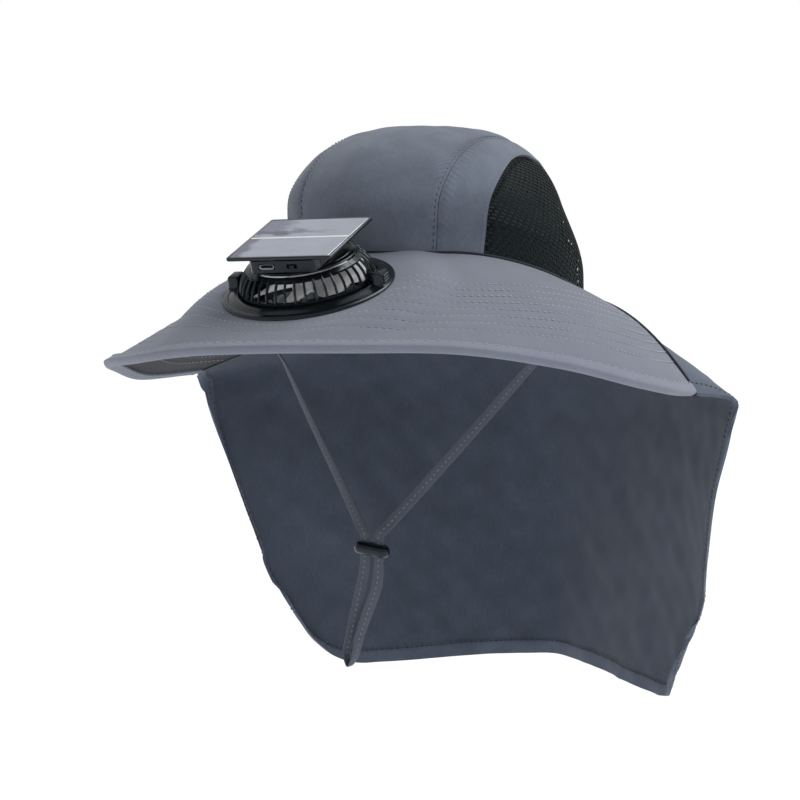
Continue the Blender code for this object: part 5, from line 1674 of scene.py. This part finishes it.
class HAT_OT_strap(bpy.types.Operator):
    """Build the chin strap, its chain of stitches and its slider"""

    bl_idname = "object.hat_strap"
    bl_label = "Chin strap"

    def execute(self, context):
        cloth = context.scene.hat_cloth
        weave = finish_once(cloth_finish, "strap weave", shade(cloth.crown, 0.62), 0.14, 0.0011)
        mesh, lie = strap_mesh(STRAP_RINGS)
        add_piece("chin_strap_braid", mesh, weave, "hat", ("chin_strap",), lie=lie)
        path, _, face = strap_line(STRAP_RINGS)
        rows = []
        for facing in (1.0, -1.0):
            line = path + face * facing * 0.5 * STRAP_WALL
            rows.append(stitch_row(line, face * facing, STRAP_STITCH, 0.0))
        thread = finish_once(thread_finish, "strap thread", shade(cloth.crown, 1.2))
        add_piece("strap_stitches", joined(rows), thread, "hat")
        black = finish_once(plastic_finish, "black plastic", context.scene.hat_fan.plastic)
        add_piece("cord_lock_bean", lock_mesh(), black, "hat", ("cord_lock",), 60.0)
        return {"FINISHED"}


class HAT_OT_fan_mount(bpy.types.Operator):
    """Build the fan's flange with its pivot lugs, and the ring that locks it under the brim"""

    bl_idname = "object.hat_fan_mount"
    bl_label = "Fan mount"

    def execute(self, context):
        black = finish_once(plastic_finish, "black plastic", context.scene.hat_fan.plastic)
        parts = joined([turned_mesh(flange_profile(), 160), lug_mesh(-1.0), lug_mesh(1.0)])
        add_piece("fan_flange_shell", in_fan(parts), black, "hat", ("fan_flange",), 32.0)
        inner = CAGE_RADIUS + CAGE_CLEARANCE + TUBE_WALL + TOUCH
        top, bottom = -BRIM_WALL - RING_GAP, -BRIM_WALL - RING_GAP - RING_HEIGHT
        wide = inner + RING_WIDTH
        face = wide - RING_EDGE
        underside = [(inner + along, bottom + up) for along, up in RING_ROWS]
        ring = [(face, top), (inner, top), *underside, (wide, bottom + RING_EASE), (wide, top - RING_EDGE)]
        grip = rod((face, 0.0, bottom + RING_EASE), (face, 0.0, top - GRIP_SHORT), GRIP_RADIUS, 8)
        grips = round_about(grip, np.linspace(0.0, 2.0 * np.pi, RING_GRIPS, endpoint=False))
        parts = joined([turned_mesh(ring, 144), grips])
        add_piece("fan_lock_ring_shell", in_fan(parts), black, "hat", ("fan_lock_ring",),
                  32.0)
        return {"FINISHED"}


class HAT_OT_fan_head(bpy.types.Operator):
    """Build the tilting cage, the grille under it, the cap, the rotor and the socket's shell"""

    bl_idname = "object.hat_fan_head"
    bl_label = "Fan head"

    def execute(self, context):
        fan = context.scene.hat_fan
        black = finish_once(plastic_finish, "black plastic", fan.plastic)
        turns = (np.arange(fan.ribs) + 0.5) * 2.0 * np.pi / fan.ribs
        radius = CAGE_RADIUS
        boss_end = radius + BOSS_PROUD
        bosses = [rod((side * BOSS_START, 0.0, 0.0), (side * boss_end, 0.0, 0.0), BOSS_RADIUS, 24)
                  for side in (-1.0, 1.0)]
        cage = joined([
            hoop(CAGE_ROWS[:2], CAGE_WALL, 6), hoop(CAGE_ROWS[3:], CAGE_WALL, 12),
            round_about(rib(CAGE_ROWS[:4], CAGE_WALL * 0.95, RIB_WIDTH, 18), turns), *bosses,
        ])
        add_head_piece("fan_cage_grille", cage, black, "fan_cage", 35.0)
        turns = (np.arange(fan.intake_ribs) + 0.5) * 2.0 * np.pi / fan.intake_ribs
        base = INTAKE_ROWS[-1] * radius
        middle = fan_curve(INTAKE_ROWS, 41, 0.5 * CAGE_WALL)
        hoops = []
        for place in INTAKE_HOOPS:
            level, height = middle[int(40 * place)]
            turn = np.linspace(0.0, 2.0 * np.pi, 8, endpoint=False)
            section = np.stack([level + 0.0007 * np.cos(turn), height + 0.0008 * np.sin(turn)], axis=-1)
            hoops.append(turned_mesh(section, 96))
        hub = disc(*base, INTAKE_HUB_ROWS)
        intake = joined([
            hoop(INTAKE_ROWS[:2], CAGE_WALL, 8), hub, *hoops,
            round_about(rib(INTAKE_ROWS, CAGE_WALL * 0.9, INTAKE_RIB_WIDTH, 24), turns),
        ])
        add_head_piece("fan_intake_grille", intake, black, "fan_intake", 35.0)
        bottom = CAGE_ROWS[0, 1] * radius + TOUCH
        cap = disc(CAGE_ROWS[0, 0] * radius, bottom, CAP_ROWS, 36)
        add_head_piece("fan_cap_disc", cap, black, "fan_cap", 32.0)
        grey = finish_once(plastic_finish, "rotor plastic", fan.blade, 0.42, 0.1)
        half = 0.5 * ROTOR_HEIGHT
        hub = disc(ROTOR_HUB_RADIUS, -half, ROTOR_HUB_ROWS)
        blades = round_about(blade_mesh(), np.arange(ROTOR_BLADES) * 2.0 * np.pi / ROTOR_BLADES)
        height = PIVOT_HEIGHT + bottom - 2.0 * TOUCH - MOTOR_HEIGHT - half
        rotor = in_fan(joined([hub, blades]), height)
        add_piece("fan_rotor_blades", rotor, grey, "rotor", ("fan_rotor",), 35.0)
        for name in ("fan_motor", "pivot_pin_right", "pivot_pin_left", "panel_housing", "power_switch"):
            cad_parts[name].material_slots[0].material = black
        steel = finish_once(metal_finish, "bright steel", (0.80, 0.80, 0.82))
        port = moved(port_mesh(), *PORT_PLACE)
        add_head_piece("usb_port_shell", port, steel, "usb_port", 50.0)
        return {"FINISHED"}


class HAT_OT_panel(bpy.types.Operator):
    """Build the solar panel: tray, the two rows of cells and the bright bar between them"""

    bl_idname = "object.hat_panel"
    bl_label = "Solar panel"

    def execute(self, context):
        fan = context.scene.hat_fan
        half, base = 0.5 * PANEL_SIDE, panel_bottom()
        top = base + PANEL_HEIGHT
        rim, floor = half - PANEL_RIM, top - PANEL_RECESS
        step = base + PANEL_HEIGHT - TRAY_HEIGHT
        tray = slab_mesh([
            (half - 0.0110, half - 0.0060, 0.0020, base), (half - 0.0100, half - 0.0050, 0.0020, step),
            (half - 0.0006, half - 0.0006, 0.0010, step), (half, half, 0.0014, step + 0.0005),
            (half, half, 0.0014, top - 0.0004), (half - 0.0003, half - 0.0003, 0.0012, top),
            (rim + 0.0002, rim + 0.0002, 0.0008, top), (rim, rim, 0.0007, top - 0.0002),
            (rim, rim, 0.0007, floor),
        ])
        black = finish_once(plastic_finish, "tray plastic", fan.plastic, 0.14, 0.3)
        add_head_piece("solar_frame_tray", tray, black, "solar_frame", 30.0)
        inside = rim - TOUCH
        gap = 0.5 * BAR_WIDTH + 0.0001
        depth = 0.5 * (inside - gap)
        height = floor + TOUCH
        finish = finish_once(cell_finish, "solar cells", fan.cell)
        for name, side in (("front", -1.0), ("back", 1.0)):
            pane = slab_mesh(eased_rows(inside, depth, height, CELL_ROWS))
            pane = moved(pane, 0.0, side * (depth + gap), 0.0)
            lie = pane[0] * np.array([1.0, 1.0, 0.0])
            stands_for = f"solar_cells_{name}"
            add_head_piece(f"{stands_for}_glass", pane, finish, stands_for, 30.0, lie)
        paste = finish_once(metal_finish, "silver paste", (0.88, 0.89, 0.92), 0.45, 0.0)
        bar = slab_mesh(eased_rows(inside, 0.5 * BAR_WIDTH, height, BAR_ROWS), 4)
        add_head_piece("solar_busbar_strip", bar, paste, "solar_busbar", 30.0)
        return {"FINISHED"}


class HAT_OT_stage(bpy.types.Operator):
    """Set up the camera, a pale floor and soft light"""

    bl_idname = "scene.hat_stage"
    bl_label = "Stage"

    def execute(self, context):
        stage = context.scene.hat_stage
        turn, rise = np.radians(CAMERA_AZIMUTH), np.radians(CAMERA_ELEVATION)
        right = np.array([np.cos(turn), np.sin(turn), 0.0])
        up = np.array([-np.sin(turn) * np.sin(rise), np.cos(turn) * np.sin(rise), np.cos(rise)])
        back = np.cross(right, up)
        place = CAMERA_CENTRE + right * CAMERA_ACROSS + up * CAMERA_UP + back * CAMERA_DISTANCE
        data = bpy.data.cameras.new("camera")
        data.sensor_width = CAMERA_SENSOR
        data.lens = CAMERA_LENS
        data.clip_end = CAMERA_FAR
        camera = bpy.data.objects.new("camera", data)
        matrix = mathutils.Matrix(np.stack([right, up, back], axis=1).tolist()).to_4x4()
        matrix.translation = place
        camera.matrix_world = matrix
        context.scene.collection.objects.link(camera)
        context.scene.camera = camera

        turns = ((-1.0, -1.0), (1.0, -1.0), (1.0, 1.0), (-1.0, 1.0))
        corners = [(x * FLOOR_HALF, y * FLOOR_HALF, FLOOR_HEIGHT) for x, y in turns]
        data = bpy.data.meshes.new("floor")
        data.from_pydata(corners, [], [(0, 1, 2, 3)])
        floor = bpy.data.objects.new("floor", data)
        finish = Finish("floor paper", Roughness=0.9, Specular_IOR_Level=0.1)
        finish.drive(Base_Color=stage.floor)
        data.materials.append(finish.material)
        context.scene.collection.objects.link(floor)

        world = bpy.data.worlds.new("studio")
        world.use_nodes = True
        tree = world.node_tree
        seen = tree.nodes.new("ShaderNodeLightPath").outputs["Is Camera Ray"]
        strength = tree.nodes.new("ShaderNodeMapRange")
        strength.inputs["To Min"].default_value = stage.sky
        strength.inputs["To Max"].default_value = stage.backdrop
        tree.links.new(seen, strength.inputs["Value"])
        tree.links.new(strength.outputs["Result"], tree.nodes["Background"].inputs["Strength"])
        tree.nodes["Background"].inputs["Color"].default_value = (1.0, 1.0, 1.0, 1.0)
        context.scene.world = world
        context.scene.view_settings.view_transform = "Standard"
        light = bpy.data.lights.new("key", "SUN")
        light.energy = stage.key
        light.angle = math.radians(KEY_ANGLE)
        lamp = bpy.data.objects.new("key", light)
        lamp.rotation_euler = mathutils.Vector(KEY_DIRECTION).to_track_quat("Z", "Y").to_euler()
        context.scene.collection.objects.link(lamp)
        return {"FINISHED"}


STEPS = (
    HAT_OT_stage, HAT_OT_crown, HAT_OT_nets, HAT_OT_sweatband, HAT_OT_brim, HAT_OT_flap, HAT_OT_strap,
    HAT_OT_fan_mount, HAT_OT_fan_head, HAT_OT_panel,
)


class HAT_PT_panel(bpy.types.Panel):
    """The hat's settings and its operators"""

    bl_idname = "HAT_PT_panel"
    bl_label = "Solar Fan Hat"
    bl_space_type = "VIEW_3D"
    bl_region_type = "UI"
    bl_category = "Hat"

    def draw(self, context):
        for group in (context.scene.hat_cloth, context.scene.hat_fan, context.scene.hat_stage):
            for name in group.__annotations__:
                self.layout.prop(group, name)
        for step in STEPS:
            self.layout.operator(step.bl_idname)


CLASSES = (HatCloth, HatFan, HatStage, *STEPS, HAT_PT_panel)


def register():
    for item in CLASSES:
        bpy.utils.register_class(item)
    bpy.types.Scene.hat_cloth = bpy.props.PointerProperty(type=HatCloth)
    bpy.types.Scene.hat_fan = bpy.props.PointerProperty(type=HatFan)
    bpy.types.Scene.hat_stage = bpy.props.PointerProperty(type=HatStage)


def unregister():
    for name in ("hat_cloth", "hat_fan", "hat_stage"):
        delattr(bpy.types.Scene, name)
    for item in reversed(CLASSES):
        bpy.utils.unregister_class(item)


def main():
    register()
    for step in STEPS:
        group, name = step.bl_idname.split(".")
        getattr(getattr(bpy.ops, group), name)()


if __name__ == "__main__":
    main()
